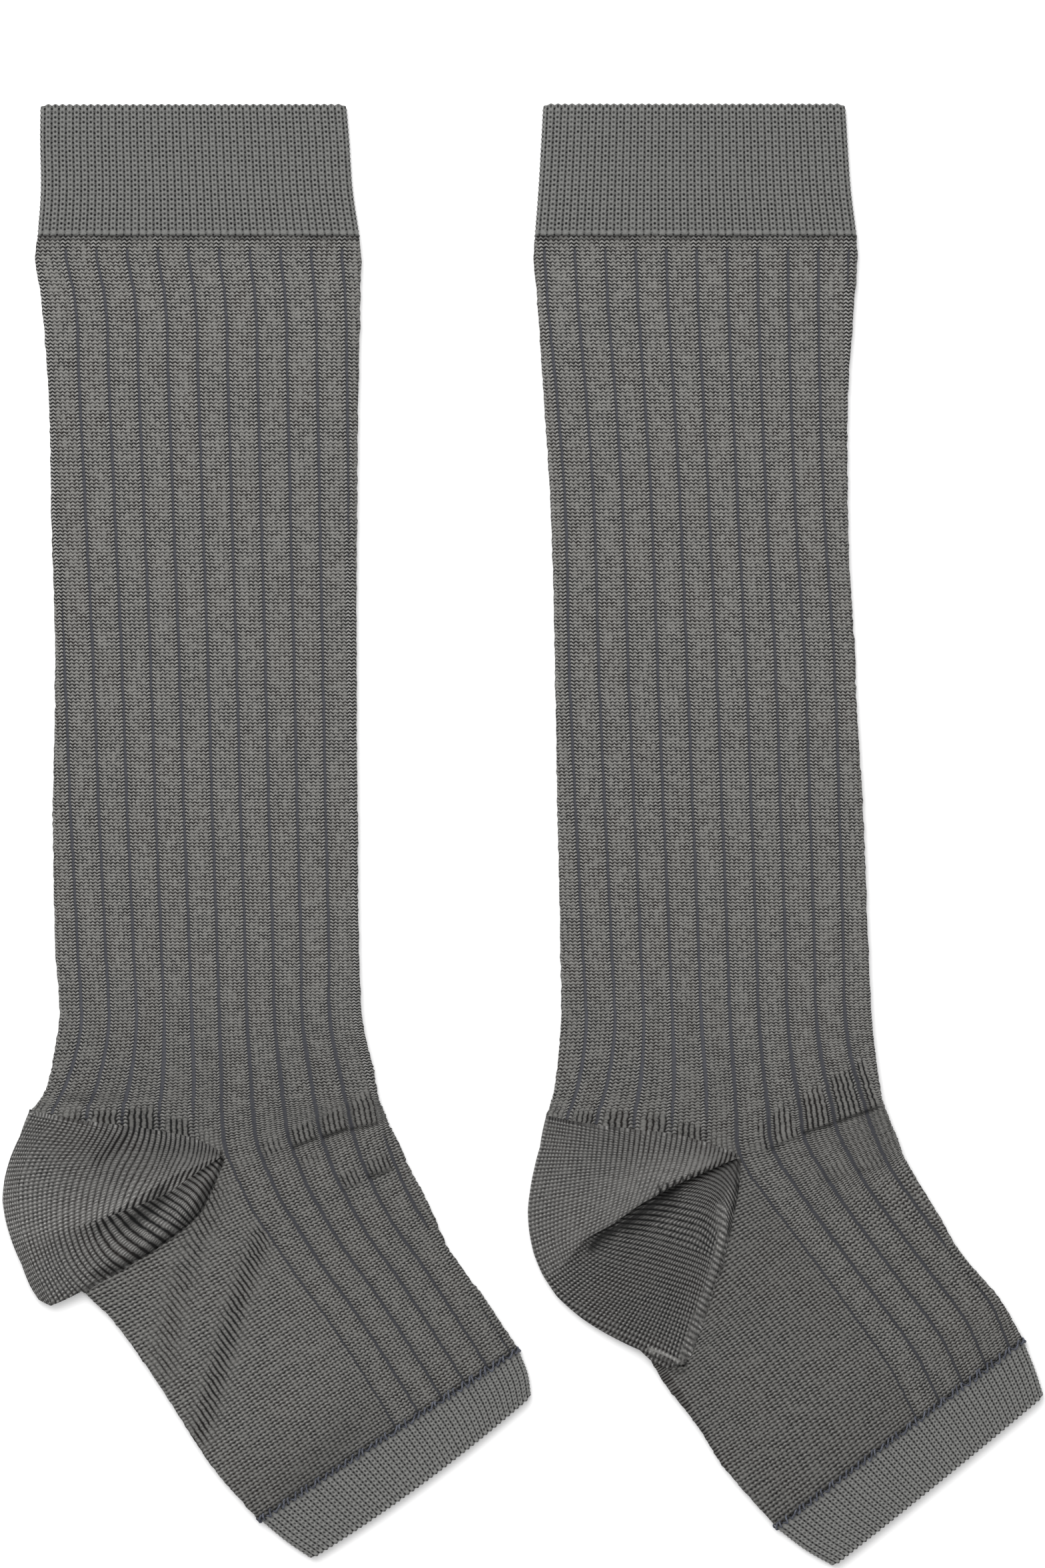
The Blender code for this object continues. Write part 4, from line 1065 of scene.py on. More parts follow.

# Wales of the heel, listed one by one above its fold and below it: their count from the furrow at the gore
# tip, and their line down the heel.
HEEL_WALES = {
    "left": (
        (
            (-42, (
                (-155.4, -88.6), (-158.8, -94.6), (-162.2, -102.0), (-164.3, -109.3), (-165.1, -115.7),
                (-164.3, -122.0), (-161.8, -130.5), (-158.4, -138.9), (-155.0, -146.3),
            )),
            (-35, (
                (-148.0, -85.0), (-149.1, -90.3), (-152.9, -95.0), (-155.8, -99.2), (-157.9, -103.4),
                (-159.4, -107.7), (-160.1, -112.5), (-159.8, -118.9), (-159.0, -125.2), (-157.1, -131.5),
                (-154.6, -137.9), (-151.6, -144.2), (-149.1, -147.4),
            )),
            (-28, (
                (-137.2, -86.1), (-138.3, -92.4), (-142.1, -98.4), (-145.9, -103.0), (-147.8, -107.2),
                (-149.1, -111.9), (-149.7, -117.8), (-149.5, -124.1), (-148.2, -130.1), (-146.1, -135.8),
                (-142.7, -141.0), (-138.9, -144.2),
            )),
            (-21, (
                (-126.3, -86.1), (-126.9, -92.9), (-129.8, -98.4), (-132.6, -103.4), (-134.3, -108.3),
                (-135.5, -112.5), (-136.6, -118.2), (-136.8, -124.1), (-136.8, -132.6),
            )),
            (-14, (
                (-114.6, -86.1), (-114.6, -94.6), (-115.3, -98.8), (-117.0, -104.1), (-119.7, -109.3),
                (-122.7, -115.1), (-125.8, -123.7),
            )),
            (-7, (
                (-104.5, -86.1), (-104.1, -94.6), (-104.3, -99.2), (-105.5, -103.6), (-107.9, -107.7),
                (-110.6, -114.8),
            )),
            (0, ((-96.0, -86.1), (-95.8, -94.6), (-95.8, -99.8), (-96.7, -104.1), (-97.9, -110.4))),
        ),
        (
            (-42, (
                (-165.1, -115.7), (-164.3, -122.0), (-161.8, -130.5), (-158.4, -138.9), (-155.0, -146.3),
                (-153.3, -149.5),
            )),
            (-35, (
                (-159.8, -112.5), (-159.8, -118.9), (-159.0, -125.2), (-157.1, -131.5), (-154.6, -137.9),
                (-151.6, -144.2), (-149.1, -149.5),
            )),
            (-28, (
                (-149.7, -112.5), (-149.7, -117.8), (-149.5, -124.1), (-148.2, -130.1), (-146.1, -135.8),
                (-142.7, -141.0), (-138.5, -145.3),
            )),
            (-21, (
                (-138.9, -113.6), (-138.1, -118.9), (-137.0, -124.1), (-135.1, -129.2), (-131.7, -133.9),
                (-125.4, -138.5),
            )),
            (-14, (
                (-132.2, -111.0), (-123.3, -115.5), (-117.0, -119.5), (-110.6, -123.5), (-106.0, -126.9),
                (-103.9, -130.9),
            )),
            (-7, ((-117.0, -102.6), (-108.5, -107.7), (-103.0, -111.2), (-100.1, -115.3), (-98.4, -120.3))),
            (0, ((-102.6, -97.7), (-95.6, -102.6), (-93.7, -105.1), (-91.6, -110.4))),
        ),
    ),
    "right": (
        (
            (-42, (
                (8.6, -88.6), (6.9, -96.7), (4.1, -107.2), (2.4, -117.8), (2.9, -127.3), (6.2, -137.9),
                (13.2, -145.9), (20.0, -151.6),
            )),
            (-35, (
                (14.9, -86.1), (14.1, -94.6), (12.8, -103.0), (11.7, -111.5), (10.9, -119.9),
                (11.1, -129.4), (13.8, -137.5), (17.9, -145.3),
            )),
            (-28, (
                (24.0, -86.1), (23.8, -94.6), (22.7, -105.1), (21.7, -114.6), (20.4, -123.1),
                (19.3, -128.8), (18.3, -136.8),
            )),
            (-21, (
                (35.8, -86.1), (35.4, -94.6), (34.1, -104.1), (32.0, -113.6), (29.3, -123.3),
                (26.9, -131.5),
            )),
            (-14, (
                (47.4, -86.1), (47.2, -94.6), (45.5, -103.0), (43.2, -109.3), (40.7, -115.7),
                (37.3, -124.1),
            )),
            (-7, ((58.0, -86.1), (58.4, -94.6), (57.6, -100.9), (55.3, -107.9), (51.7, -115.7))),
            (0, ((66.7, -86.1), (67.3, -94.6), (67.3, -100.9), (65.4, -106.2), (62.2, -113.6))),
        ),
        (
            (-42, (
                (2.9, -127.3), (6.2, -137.9), (13.2, -145.9), (24.2, -151.8), (36.9, -157.5),
                (47.4, -162.6), (52.1, -166.4),
            )),
            (-35, (
                (7.3, -126.3), (11.1, -132.2), (14.9, -138.1), (21.7, -142.7), (31.0, -146.5),
                (43.2, -150.8), (53.8, -155.0), (58.0, -159.2),
            )),
            (-28, (
                (16.2, -126.3), (19.3, -130.9), (23.3, -133.9), (31.6, -136.6), (43.2, -139.8),
                (55.9, -144.2), (61.4, -149.9),
            )),
            (-21, (
                (20.0, -124.1), (28.4, -125.4), (37.9, -126.9), (47.9, -129.6), (59.3, -133.9),
                (64.8, -140.2),
            )),
            (-14, (
                (32.2, -115.7), (41.1, -115.1), (50.0, -116.1), (58.8, -118.6), (63.9, -123.7),
                (66.9, -132.6),
            )),
            (-7, ((47.4, -108.1), (55.5, -108.3), (62.2, -110.8), (66.0, -115.7), (68.4, -124.1))),
            (0, ((60.1, -99.2), (66.5, -102.0), (69.0, -105.5), (71.5, -112.5))),
        ),
    ),
}
# Painted shade and painted highlights, and open wales, along the heel's folds: the line, its reach above and
# below, how much stronger the wales are there, and how light it is.
HEEL_BANDS = {
    "left": (
        (((-134.9, -123.3), (-123.7, -116.1), (-110.6, -108.3), (-97.1, -102.6)), 0.5, 2.2, 0.9, 0.78),
        (((-122.7, -122.0), (-118.2, -117.4), (-114.2, -113.6)), 2.6, 2.6, 0.2, 0.5),
        (((-126.7, -123.7), (-122.7, -120.8)), 1.2, 1.2, 0.2, 0.7),
        ((
            (-134.3, -139.6), (-127.1, -136.6), (-117.4, -131.3), (-109.3, -125.2), (-103.0, -119.5),
            (-99.2, -111.5),
        ), 2.6, 0.6, 0.3, 0.5),
        (((-125.8, -94.6), (-129.6, -98.4), (-135.3, -103.4)), 1.6, 1.6, 0.3, 0.82),
        (((-124.6, -92.4), (-115.3, -92.4)), 2.6, 2.2, 0.4, 0.78),
    ),
    "right": (
        ((
            (21.2, -130.1), (24.2, -126.7), (32.6, -122.4), (41.9, -115.7), (48.7, -111.7),
        ), 0.3, 1.8, -0.3, 0.25),
        (((44.0, -114.2), (48.7, -111.7), (57.4, -107.4), (65.6, -102.6)), 2.0, 0.8, 0.7, 0.7),
        ((
            (66.0, -113.0), (64.6, -123.3), (62.4, -134.1), (59.1, -144.8), (55.2, -155.6),
            (51.8, -164.0),
        ), 1.8, 1.8, 0.4, 1.35),
        (((33.7, -123.7), (40.0, -119.5), (46.2, -115.7)), 2.8, 3.2, 0.4, 0.6),
        (((22.1, -130.1), (27.4, -126.3)), 2.0, 2.6, 0.3, 0.6),
        ((
            (68.6, -110.4), (67.3, -123.3), (65.2, -134.1), (61.8, -144.8), (57.8, -155.6),
            (54.2, -165.1),
        ), 1.3, 0.7, 0.4, 0.35),
        ((
            (39.4, -162.6), (42.2, -163.4), (45.3, -164.7), (47.9, -165.8), (50.0, -167.0),
            (51.0, -168.1),
        ), 0.6, 0.6, -0.9, 1.9),
        (((40.8, -164.9), (43.8, -165.7), (46.6, -167.0), (48.4, -168.2)), 0.5, 0.5, -0.5, 0.35),
    ),
}
# Bars where the wales turn over the roll at the heel's edge: the line of the roll, half the bars' length,
# their pitch, how they lean, and how much painted highlight lightens the bars and painted shade darkens the
# gaps between them.
HEEL_BARS = {
    "left": (),
    "right": (
        ((
            (62.6, -118.0), (63.1, -126.3), (62.0, -132.6), (60.3, -138.9), (58.2, -145.3),
            (54.2, -155.8), (51.2, -164.5),
        ), 1.7, 2.24, 0.7, 0.6),
    ),
}
# Dark ticks along the edge of the heel's fold: from and to how far from the gore tip, and their pitch. They
# lie from TICK_START on, as share of the way round, are darkest TICK_DEPTH later, and end at TICK_END.
HEEL_TICKS = {"left": (), "right": ((3.0, 29.0, 2.66),)}
TICK_START = 0.455
TICK_DEPTH = 0.047
TICK_END = 0.508


def heel_plan(side_name, share, out):
    """Plan places of the heel, and the angle at each, for shares round (rows) and out (columns)."""
    edges = np.array(HEEL_EDGES[side_name])
    outline = np.array(HEEL_OUTLINES[side_name])
    first = np.interp(out, edges[:, 0], edges[:, 1])
    last = np.interp(out, edges[:, 0], edges[:, 2])
    angle = first + share * (last - first)
    rim = edges[-1, 1] + np.clip(share, 0.0, 1.0) * (edges[-1, 2] - edges[-1, 1])
    even = outline[0, 1]
    radius = even + out * (np.interp(rim, outline[:, 0], outline[:, 1]) - even)
    return angle, radius


def wale_count(x, y, lines):
    """Stitch count across the cloth at each place, between the listed wales."""
    fars = []
    for _, line in lines:
        at = np.arange(len(line))
        finer = curve_through(at, line, np.linspace(0.0, at[-1], 4 * at[-1] + 1))
        fars.append(beside(x, y, finer.tolist())[0])
    count = lines[0][0] + np.minimum(fars[0], 0.0) / HEEL_WALE
    for k in range(len(lines) - 1):
        step = lines[k + 1][0] - lines[k][0]
        between = fars[k] / np.maximum(fars[k] - fars[k + 1], 1e-6)
        count = np.where(fars[k] > 0.0, lines[k][0] + step * np.clip(between, 0.0, 1.0), count)
    return np.where(fars[-1] > 0.0, lines[-1][0] + fars[-1] / HEEL_WALE, count)


def heel_opening(side_name):
    """Plan outline of the hole that the heel fills in the leg and foot."""
    gore = GORES[side_name]
    outs = np.array([0.03, 0.13, 0.3, 0.5, 0.7, 0.86, 1.0])
    shares = np.linspace(0.0, 1.0, 15)
    loop = [(0.0, out) for out in outs[:-1]] + [(share, 1.0) for share in shares]
    loop += [(1.0, out) for out in outs[-2::-1]] + [(share, 0.03) for share in shares[-2:0:-2]]
    share, out = np.array(loop).T
    angle, radius = heel_plan(side_name, share, out)
    turn = np.radians(angle)
    plan = np.stack([gore[0] + radius * out * np.cos(turn), gore[1] + radius * out * np.sin(turn)], axis=1)
    before, after = np.roll(plan, 1, axis=0), np.roll(plan, -1, axis=0)
    normals = []
    for start, end in ((before, plan), (plan, after)):
        way = (end - start) / np.linalg.norm(end - start, axis=1, keepdims=True)
        normals.append(np.stack([way[:, 1], -way[:, 0]], axis=1))
    area = np.sum(plan[:, 0] * after[:, 1] - after[:, 0] * plan[:, 1])
    outwards = 1.0 if area > 0.0 else -1.0
    push = (normals[0] + normals[1]) * outwards
    size = np.maximum(np.sum(push * normals[0], axis=1, keepdims=True) * outwards, 0.2)
    return plan + push / size * HEEL_GROW


def cut_opening(piece, loop):
    """Cuts the heel's opening through both walls of the leg and foot."""
    count = len(loop)
    low, high = ([(x * MM, y * MM, z * MM) for x, y in loop] for z in CUT_HEIGHTS)
    area = sum(a[0] * b[1] - b[0] * a[1] for a, b in zip(low, low[1:] + low[:1]))
    faces = [tuple(range(count))[::-1], tuple(range(count, 2 * count))]
    faces += [(k, (k + 1) % count, count + (k + 1) % count, count + k) for k in range(count)]
    if area < 0.0:
        faces = [face[::-1] for face in faces]
    mesh = bpy.data.meshes.new("heel_cutter")
    mesh.from_pydata(low + high, [], faces)
    cutter = bpy.data.objects.new("heel_cutter", mesh)
    bpy.context.scene.collection.objects.link(cutter)
    modifier = piece.modifiers.new("heel_opening", "BOOLEAN")
    modifier.operation = "DIFFERENCE"
    modifier.solver = "EXACT"
    modifier.object = cutter
    bpy.ops.object.select_all(action="DESELECT")
    bpy.context.view_layer.objects.active = piece
    piece.select_set(True)
    bpy.ops.object.modifier_apply(modifier=modifier.name)
    bpy.data.objects.remove(cutter, do_unlink=True)


def far_out(table, out):
    """Values for each share of the way out, from columns near the gore tip, half way out and far out."""
    weights = np.interp(out, FOLD_STATIONS, (0.0, 1.0, 2.0))
    low = np.minimum(weights, 1.0).astype(int)
    part = weights - low
    return table[:, low] * (1.0 - part) + table[:, low + 1] * part


def heel_look(side_name, x, y, share, out, distance, is_top):
    """How strong the heel's courses and wales are, how light it is, and where its bars stand up."""
    is_upper = share < FOLD_RIDGE[side_name]
    tones = np.array(HEEL_TONES[side_name])
    columns = far_out(tones[:, 1:], out[0])
    tone = np.stack([np.interp(share[:, 0], tones[:, 0], column) for column in columns.T], axis=1)
    raised = HEEL_CORDS[side_name]
    fold_wale, fold_course = HEEL_FOLD_KNIT[side_name]
    outer_half, outer_part = smooth(out, 0.5, 0.9), smooth(out, 0.6, 0.9)
    wale = np.where(is_upper, raised - 0.3 * smooth(out, 0.5, 0.85), fold_wale - 0.25 * outer_part)
    wale = wale + 0.3 * (1.0 - smooth(share, 0.05, 0.3)) * (1.0 - 0.5 * outer_part)
    course = np.where(is_upper, 0.25 + 0.5 * smooth(out, 0.4, 0.8), fold_course + 0.2 * outer_half)
    for line, above, below, strength, light in HEEL_BANDS[side_name]:
        far, _ = beside(x, y, line)
        patch = np.exp(-(np.where(far > 0.0, far / above, -far / below) ** 4))
        wale = wale + strength * patch
        course = course * (1.0 - (0.5 if strength > -0.4 else 1.0) * patch)
        # painted shade or painted highlight along the fold
        tone = tone * (1.0 - (1.0 - light) * patch)
    bars = np.zeros_like(x)
    for line, half_length, pitch, lean, strength in HEEL_BARS[side_name]:
        far, _ = beside(x, y, line)
        patch = np.exp(-((far / half_length) ** 4)) * is_top
        wave = 0.5 + 0.5 * np.cos(math.tau * (y + lean * x) / pitch)
        bar = (2.0 * smooth(wave, 0.2, 0.75) - 1.0) * patch
        bars = bars + bar
        # painted highlight on the bars and painted shade between them
        tone = tone * (1.0 + strength * bar)
        wale = wale * (1.0 - patch)
        course = course * (1.0 - 0.85 * patch)
    for start, end, pitch in HEEL_TICKS[side_name]:
        near_edge = np.clip((share - TICK_START) / TICK_DEPTH, 0.0, 1.0) * (share < TICK_END)
        tick = 0.5 + 0.5 * np.cos(math.tau * distance / pitch) + 0.6 * near_edge
        tick = smooth(tick, 0.95, 1.15) * (near_edge > 0.0) * (distance > start) * (distance < end) * is_top
        tone = tone * (1.0 - 0.8 * tick)
    return course, wale, tone, bars


def heel_lining(side_name):
    """Grid of points on the inside of the heel."""
    gore = GORES[side_name]
    share = np.linspace(0.02, 0.98, HEEL_LINING_ROWS)[:, None]
    outs = np.linspace(0.06, 0.97, HEEL_LINING_COLUMNS)
    out = np.concatenate([outs, [0.985], outs[::-1]])[None, :]
    angle, radius = heel_plan(side_name, *np.broadcast_arrays(share, out))
    turn = np.radians(angle)
    wall = np.full(HEEL_LINING_COLUMNS, WALL)
    z = np.concatenate([wall + SLOT, [WALL + 0.5 * SLOT], wall])
    x, y = gore[0] + radius * out * np.cos(turn), gore[1] + radius * out * np.sin(turn)
    return np.stack([x, y, np.broadcast_to(z, turn.shape)], axis=2)


def heel_pocket(side_name, material):
    """The folded heel: its outside as one sheet from the gore tip over the top, round its outline and back
    below, and its lining."""
    folds = np.array(HEEL_FOLDS[side_name])
    arc = np.abs(np.diff(folds[:, 0] + folds[:, 1])) * 60.0 + np.abs(np.diff(folds[:, 3])) + 0.05
    stations = np.concatenate([[0.0], np.cumsum(arc)])
    run = np.linspace(0.0, stations[-1], HEEL_ROWS)
    shape = curve_through(stations, folds, run)
    shape[:, 0] = np.interp(run, stations, folds[:, 0])
    tops = np.linspace(0.006, 0.975, HEEL_COLUMNS)
    lows = np.linspace(0.975, 0.006, HEEL_LOW_COLUMNS)
    upper, rim, lower = np.ones_like(tops), np.ones_like(HEEL_RIM), np.ones_like(lows)
    out = np.concatenate([tops, rim, lows])[None, :]
    tilt = np.concatenate([upper * math.pi / 2, HEEL_RIM, lower * -math.pi / 2])[None, :]
    is_top = np.concatenate([upper, 0.0 * rim, 0.0 * lower])[None, :]
    is_rim = np.concatenate([0.0 * upper, rim, 0.0 * lower])[None, :]
    up = np.concatenate([upper, 0.5 + 0.5 * np.sin(HEEL_RIM), 0.0 * lower])[None, :]
    share = shape[:, 0:1] + shape[:, 1:2] * (1.0 - smooth(out, 0.62, 0.8)) * is_top
    swings = np.array(FOLD_SWINGS[side_name])
    swing = np.interp(out, swings[:, 0], swings[:, 1]) * up
    share = share + swing * smooth(share, 0.12, 0.42) * (1.0 - smooth(share, 0.56, 0.88))
    lift = far_out(shape[:, 2:], out[0])
    height = (lift - RIB_LIFT) * up + LIP * (1.0 - up)
    angle, radius = heel_plan(side_name, share, np.broadcast_to(out, share.shape))
    laps = np.array(LAP)
    flat = np.zeros_like(out)

    def with_laps(first, values, last):
        """The rows, between those that lap the leg and those that lap the foot."""
        return np.concatenate([first + flat, values + flat, last + flat])

    def repeated(values):
        """The rows, with the first and the last one repeated for the laps."""
        ends = [np.repeat(row, len(laps), axis=0) for row in (values[:1], values[-1:])]
        return with_laps(ends[0], values, ends[1])

    turn = np.radians(repeated(angle))
    height = with_laps(laps[:, 1:], height, laps[::-1, 1:])
    past = with_laps(-laps[:, :1], np.zeros_like(share), laps[::-1, :1])
    share_all = repeated(shape[:, :1])
    half = 0.5 * (LEG_SKIN - FLAT_LOW)
    distance = repeated(radius) * out - half * (1.0 - np.cos(tilt)) * is_rim + height * np.cos(tilt)
    gore = GORES[side_name]
    x = gore[0] + distance * np.cos(turn) - past * np.sin(turn)
    y = gore[1] + distance * np.sin(turn) + past * np.cos(turn)
    z = FLAT_LOW + half + (half + height) * np.sin(tilt)
    wales = [wale_count(x, y, lines) for lines in HEEL_WALES[side_name]]
    is_upper = share_all < FOLD_RIDGE[side_name]
    course, wale, tone, bars = heel_look(side_name, x, y, share_all, out, distance, is_top)
    inside = smooth(share_all, 0.01, 0.05) * (1.0 - smooth(share_all, 0.96, 0.995)) * is_top
    cords = np.cos(math.tau * np.where(is_upper, *wales)) * np.clip(wale, 0.0, 1.2)
    z = z + HEEL_BAR_LIFT * bars
    z = z - HEEL_CORD_LIFT * cords * inside
    outer, inner = np.stack([x, y, z], axis=2), heel_lining(side_name)
    outer_ids = np.arange(x.size).reshape(x.shape)
    inner_ids = x.size + np.arange(inner[..., 0].size).reshape(inner.shape[:2])
    faces = grid_faces(outer_ids, False)
    charts = np.where(is_upper[:-1, :1], 0, 2) + (out[:, :-1] < INNER_ZONE)
    faces += [face[::-1] for face in grid_faces(inner_ids, False)]
    spans = ((0.0, 0.45, len(tops)), (0.47, 0.53, len(rim)), (0.55, 1.0, len(lows)))
    outer_along = np.concatenate([np.linspace(*span) for span in spans])
    inner_along = np.linspace(0.0, 1.0, inner_ids.shape[1])
    outer_down = np.linspace(0.0, 1.0, outer_ids.shape[0])
    inner_down = np.linspace(0.0, 1.0, inner_ids.shape[0])
    for end, flip in ((0, True), (-1, False)):
        faces += zip_edges(outer_ids[end], outer_along, inner_ids[end], inner_along, False, flip)
    for end, flip in ((0, False), (-1, True)):
        faces += zip_edges(outer_ids[:, end], outer_down, inner_ids[:, end], inner_down, False, flip)
    charts = np.concatenate([charts.ravel(), np.zeros(len(faces) - charts.size, int)])
    spare = np.zeros((inner_ids.size, 2))
    turned = turn / HEEL_COURSE
    stitches = [
        np.concatenate([np.stack([count, courses], axis=2).reshape(-1, 2), spare])
        for count in wales
        for courses in (turned, INNER_COURSES * turned)
    ]
    knit = np.stack([course, np.clip(wale, 0.0, 1.3), tone], axis=2).reshape(-1, 3)
    knit = np.concatenate([knit, np.broadcast_to(LINING_KNIT, (inner_ids.size, 3))])
    points = np.concatenate([outer.reshape(-1, 3), inner.reshape(-1, 3)])
    no_furrow, all_plain = np.zeros(len(points)), np.ones(len(points))
    name = side_name + "_heel_knit"
    return cloth_piece(name, points, faces, stitches, knit, no_furrow, material, all_plain, charts)


heel_knit = plain_knit("plain_heel_knit", "#666563", "#0F0F10", 0.42)
for side_name in ("left", "right"):
    leg = leg_tube(side_name, rib_knit)
    cut_opening(leg, heel_opening(side_name))
    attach(leg, "root")
    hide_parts(side_name + "_leg_foot")
    heel = heel_pocket(side_name, heel_knit)
    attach(heel, "root")
    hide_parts(side_name + "_heel")

# The toe bands. Each open toe ends in a short band knitted like the cuff, but finer. An overlocked seam of
# dark slate thread joins it to the foot and stands up as a low uneven ridge.
TOE_WALES = 92
TOE_ROW = 1.27
TOE_SCALLOP = 0.55
TOE_BANDS = {
    "left": (
        (-83.0, -217.2, -1.4, -163.7, 0.0),
        (-74.3, -224.3, 1.4, -171.2, 0.7),
        (-67.8, -228.7, 2.2, -176.9, 1.8),
    ),
    "right": (
        (80.5, -219.7, 158.5, -160.7, 0.0),
        (90.3, -227.0, 162.2, -169.8, 0.2),
        (97.6, -231.1, 164.5, -176.9, 0.4),
    ),
}
SEAM_TURNS = 41  # turns of the thread across one wall
THREAD = 0.31  # radius of the seam's thread
SEAM_HALF = 1.05
THREAD_SIDES = 6
THREAD_STEPS = 14
THREAD_FORTH = 0.72  # how far on the thread is when it is half round
THREAD_OVER = (0.08, 0.42, 0.75)  # how high it runs over the skin: the middle, its rise and its dip
SEAM_ROOM = 0.5 * (LEG_SKIN - FLAT_LOW)  # from the middle of the flat tube to its skin
CORE_STATIONS = 260
CORE_SIDES = 8
CORE_HALF = 0.7
CORE_DEPTH = 0.95  # from the skin down to the middle of the core
CORE_THICK = 0.4
CORE_SHADE = 0.3


def seam_line(foot_row, band_row):
    """The seam's left end, its ways along and across, how wide its flat part is, and the length round it."""
    row = np.array([0.5 * (a + b) for a, b in zip(foot_row[:4], band_row[:4])])
    width = float(np.linalg.norm(row[2:4] - row[0:2]))
    along = (row[2:4] - row[0:2]) / width
    flat = width - 2.0 * SIDE
    return row[0:2], along, np.array([along[1], -along[0]]), flat, 2.0 * flat + 2.0 * math.pi * SEAM_ROOM


def round_seam(line, run, across, over):
    """Points beside the seam for distances round it, across it, and out from the middle of the flat tube."""
    left, along, forward, flat, around = line
    arc = math.pi * SEAM_ROOM
    corners = (0.0, flat, flat + arc, 2.0 * flat + arc, around)
    at = np.interp(run % around, corners, (SIDE, SIDE + flat, SIDE + flat, SIDE, SIDE))
    turn = np.interp(run % around, corners, np.radians((90.0, 90.0, -90.0, -90.0, -270.0)))
    plan = left + (at + over * np.cos(turn))[..., None] * along + across[..., None] * forward
    height = FLAT_LOW + SEAM_ROOM + over * np.sin(turn)
    return np.concatenate([plan, height[..., None]], axis=-1)


def seam_core(line):
    """The cloth edges caught in the seam, a flat ring between foot and toe band. Gives points and faces."""
    run = np.linspace(0.0, line[4], CORE_STATIONS, endpoint=False)[:, None]
    turn = np.arange(CORE_SIDES) * 2.0 * math.pi / CORE_SIDES
    across = CORE_HALF * np.cos(turn) + np.zeros_like(run)
    over = SEAM_ROOM - CORE_DEPTH + CORE_THICK * np.sin(turn) * (1.0 + 0.25 * np.sin(2.3 * run))
    points = round_seam(line, run + np.zeros_like(across), across, over)
    ids = np.arange(CORE_STATIONS * CORE_SIDES).reshape(-1, CORE_SIDES)
    return points.reshape(-1, 3), grid_faces(np.vstack([ids, ids[:1]]), True)


def seam_thread(line):
    """The overlock thread: it winds round the seam, all the way about the flat tube. Gives its path."""
    flat, around = line[3:]
    turns = int(around / (flat / SEAM_TURNS))
    rng = np.random.default_rng(3)
    wobble = rng.uniform(-0.5, 0.5, turns + 1)
    reach = rng.uniform(0.45, 1.25, turns + 1)
    turn = np.arange(turns * THREAD_STEPS) / THREAD_STEPS
    index = turn.astype(int)
    phase = 2.0 * math.pi * (turn - index)
    passed = np.interp(turn - index, (0.0, 0.5, 1.0), (0.0, THREAD_FORTH, 1.0))
    run = (index + passed + wobble[index] * np.sin(0.5 * phase)) / turns * around
    across = SEAM_HALF * reach[index] * np.cos(phase)
    middle, rise, dip = THREAD_OVER
    over = middle + rise * np.maximum(np.sin(phase), 0.0) + dip * np.minimum(np.sin(phase), 0.0)
    path = round_seam(line, run, across, SEAM_ROOM + over)
    path[:, 2] = np.maximum(path[:, 2], THREAD)
    return path


def thread_tube(path):
    """Points and faces of a closed round thread along a path."""
    ahead = np.roll(path, -1, axis=0) - np.roll(path, 1, axis=0)
    ahead /= np.linalg.norm(ahead, axis=1, keepdims=True)
    up = np.tile(np.array([0.0, 0.0, 1.0]), (len(path), 1))
    across = np.cross(ahead, up)
    across /= np.maximum(np.linalg.norm(across, axis=1, keepdims=True), 1e-6)
    over = np.cross(across, ahead)
    turns = np.arange(THREAD_SIDES) * 2.0 * math.pi / THREAD_SIDES
    rings = [path + THREAD * (across * math.cos(t) + over * math.sin(t)) for t in turns]
    points = np.stack(rings, axis=1)
    ids = np.arange(points.shape[0] * THREAD_SIDES).reshape(-1, THREAD_SIDES)
    ids = np.vstack([ids, ids[:1]])
    return points, grid_faces(ids, True)


# Matte twisted polyester thread. It gives the eye short dark blue-grey strokes with a fine slanted twist.
SEAM_DARK = "#3A3C45"
SEAM_LIGHT = "#6C6F78"
THREAD_GRAIN = 0.7  # spots of the thread's fibres to a mm
STITCHES_TO_A_STEP = 0.6  # how fast the twist runs along the thread
slate_thread, tree, shader, u, v, knit = new_cloth("twisted_overlock_thread", 0.85)
slant = add(tree, "Math", [u, 3.0, v], operation="MULTIPLY_ADD")
ply = add(tree, "Math", [slant, 0.5], operation="PINGPONG")
ply = add(tree, "MapRange", [ply, 0.0, 0.35, 0.0, 1.0], interpolation_type="SMOOTHSTEP")
place = add(tree, "TexCoord", output=3)
fibres = add(tree, "TexNoise", {"Vector": place, "Scale": THREAD_GRAIN / MM, "Detail": 2.0})
fibres = add(tree, "MapRange", [fibres, 0.3, 0.7, 0.0, 1.0])
shade = add(tree, "Math", [ply, fibres], operation="MULTIPLY")
yarn = {0: shade, 6: linear(SEAM_DARK), 7: linear(SEAM_LIGHT)}
yarn = add(tree, "Mix", yarn, output=2, data_type="RGBA")
yarn = add(tree, "VectorMath", {0: yarn, 3: knit[2]}, operation="SCALE")
tree.links.new(yarn, shader.inputs["Base Color"])
bump = add(tree, "Bump", {"Strength": 0.6, "Distance": 0.08 * MM, "Height": ply})
tree.links.new(bump, shader.inputs["Normal"])
rough = add(tree, "MapRange", [fibres, 0.0, 1.0, 0.75, 0.95])
tree.links.new(rough, shader.inputs["Roughness"])


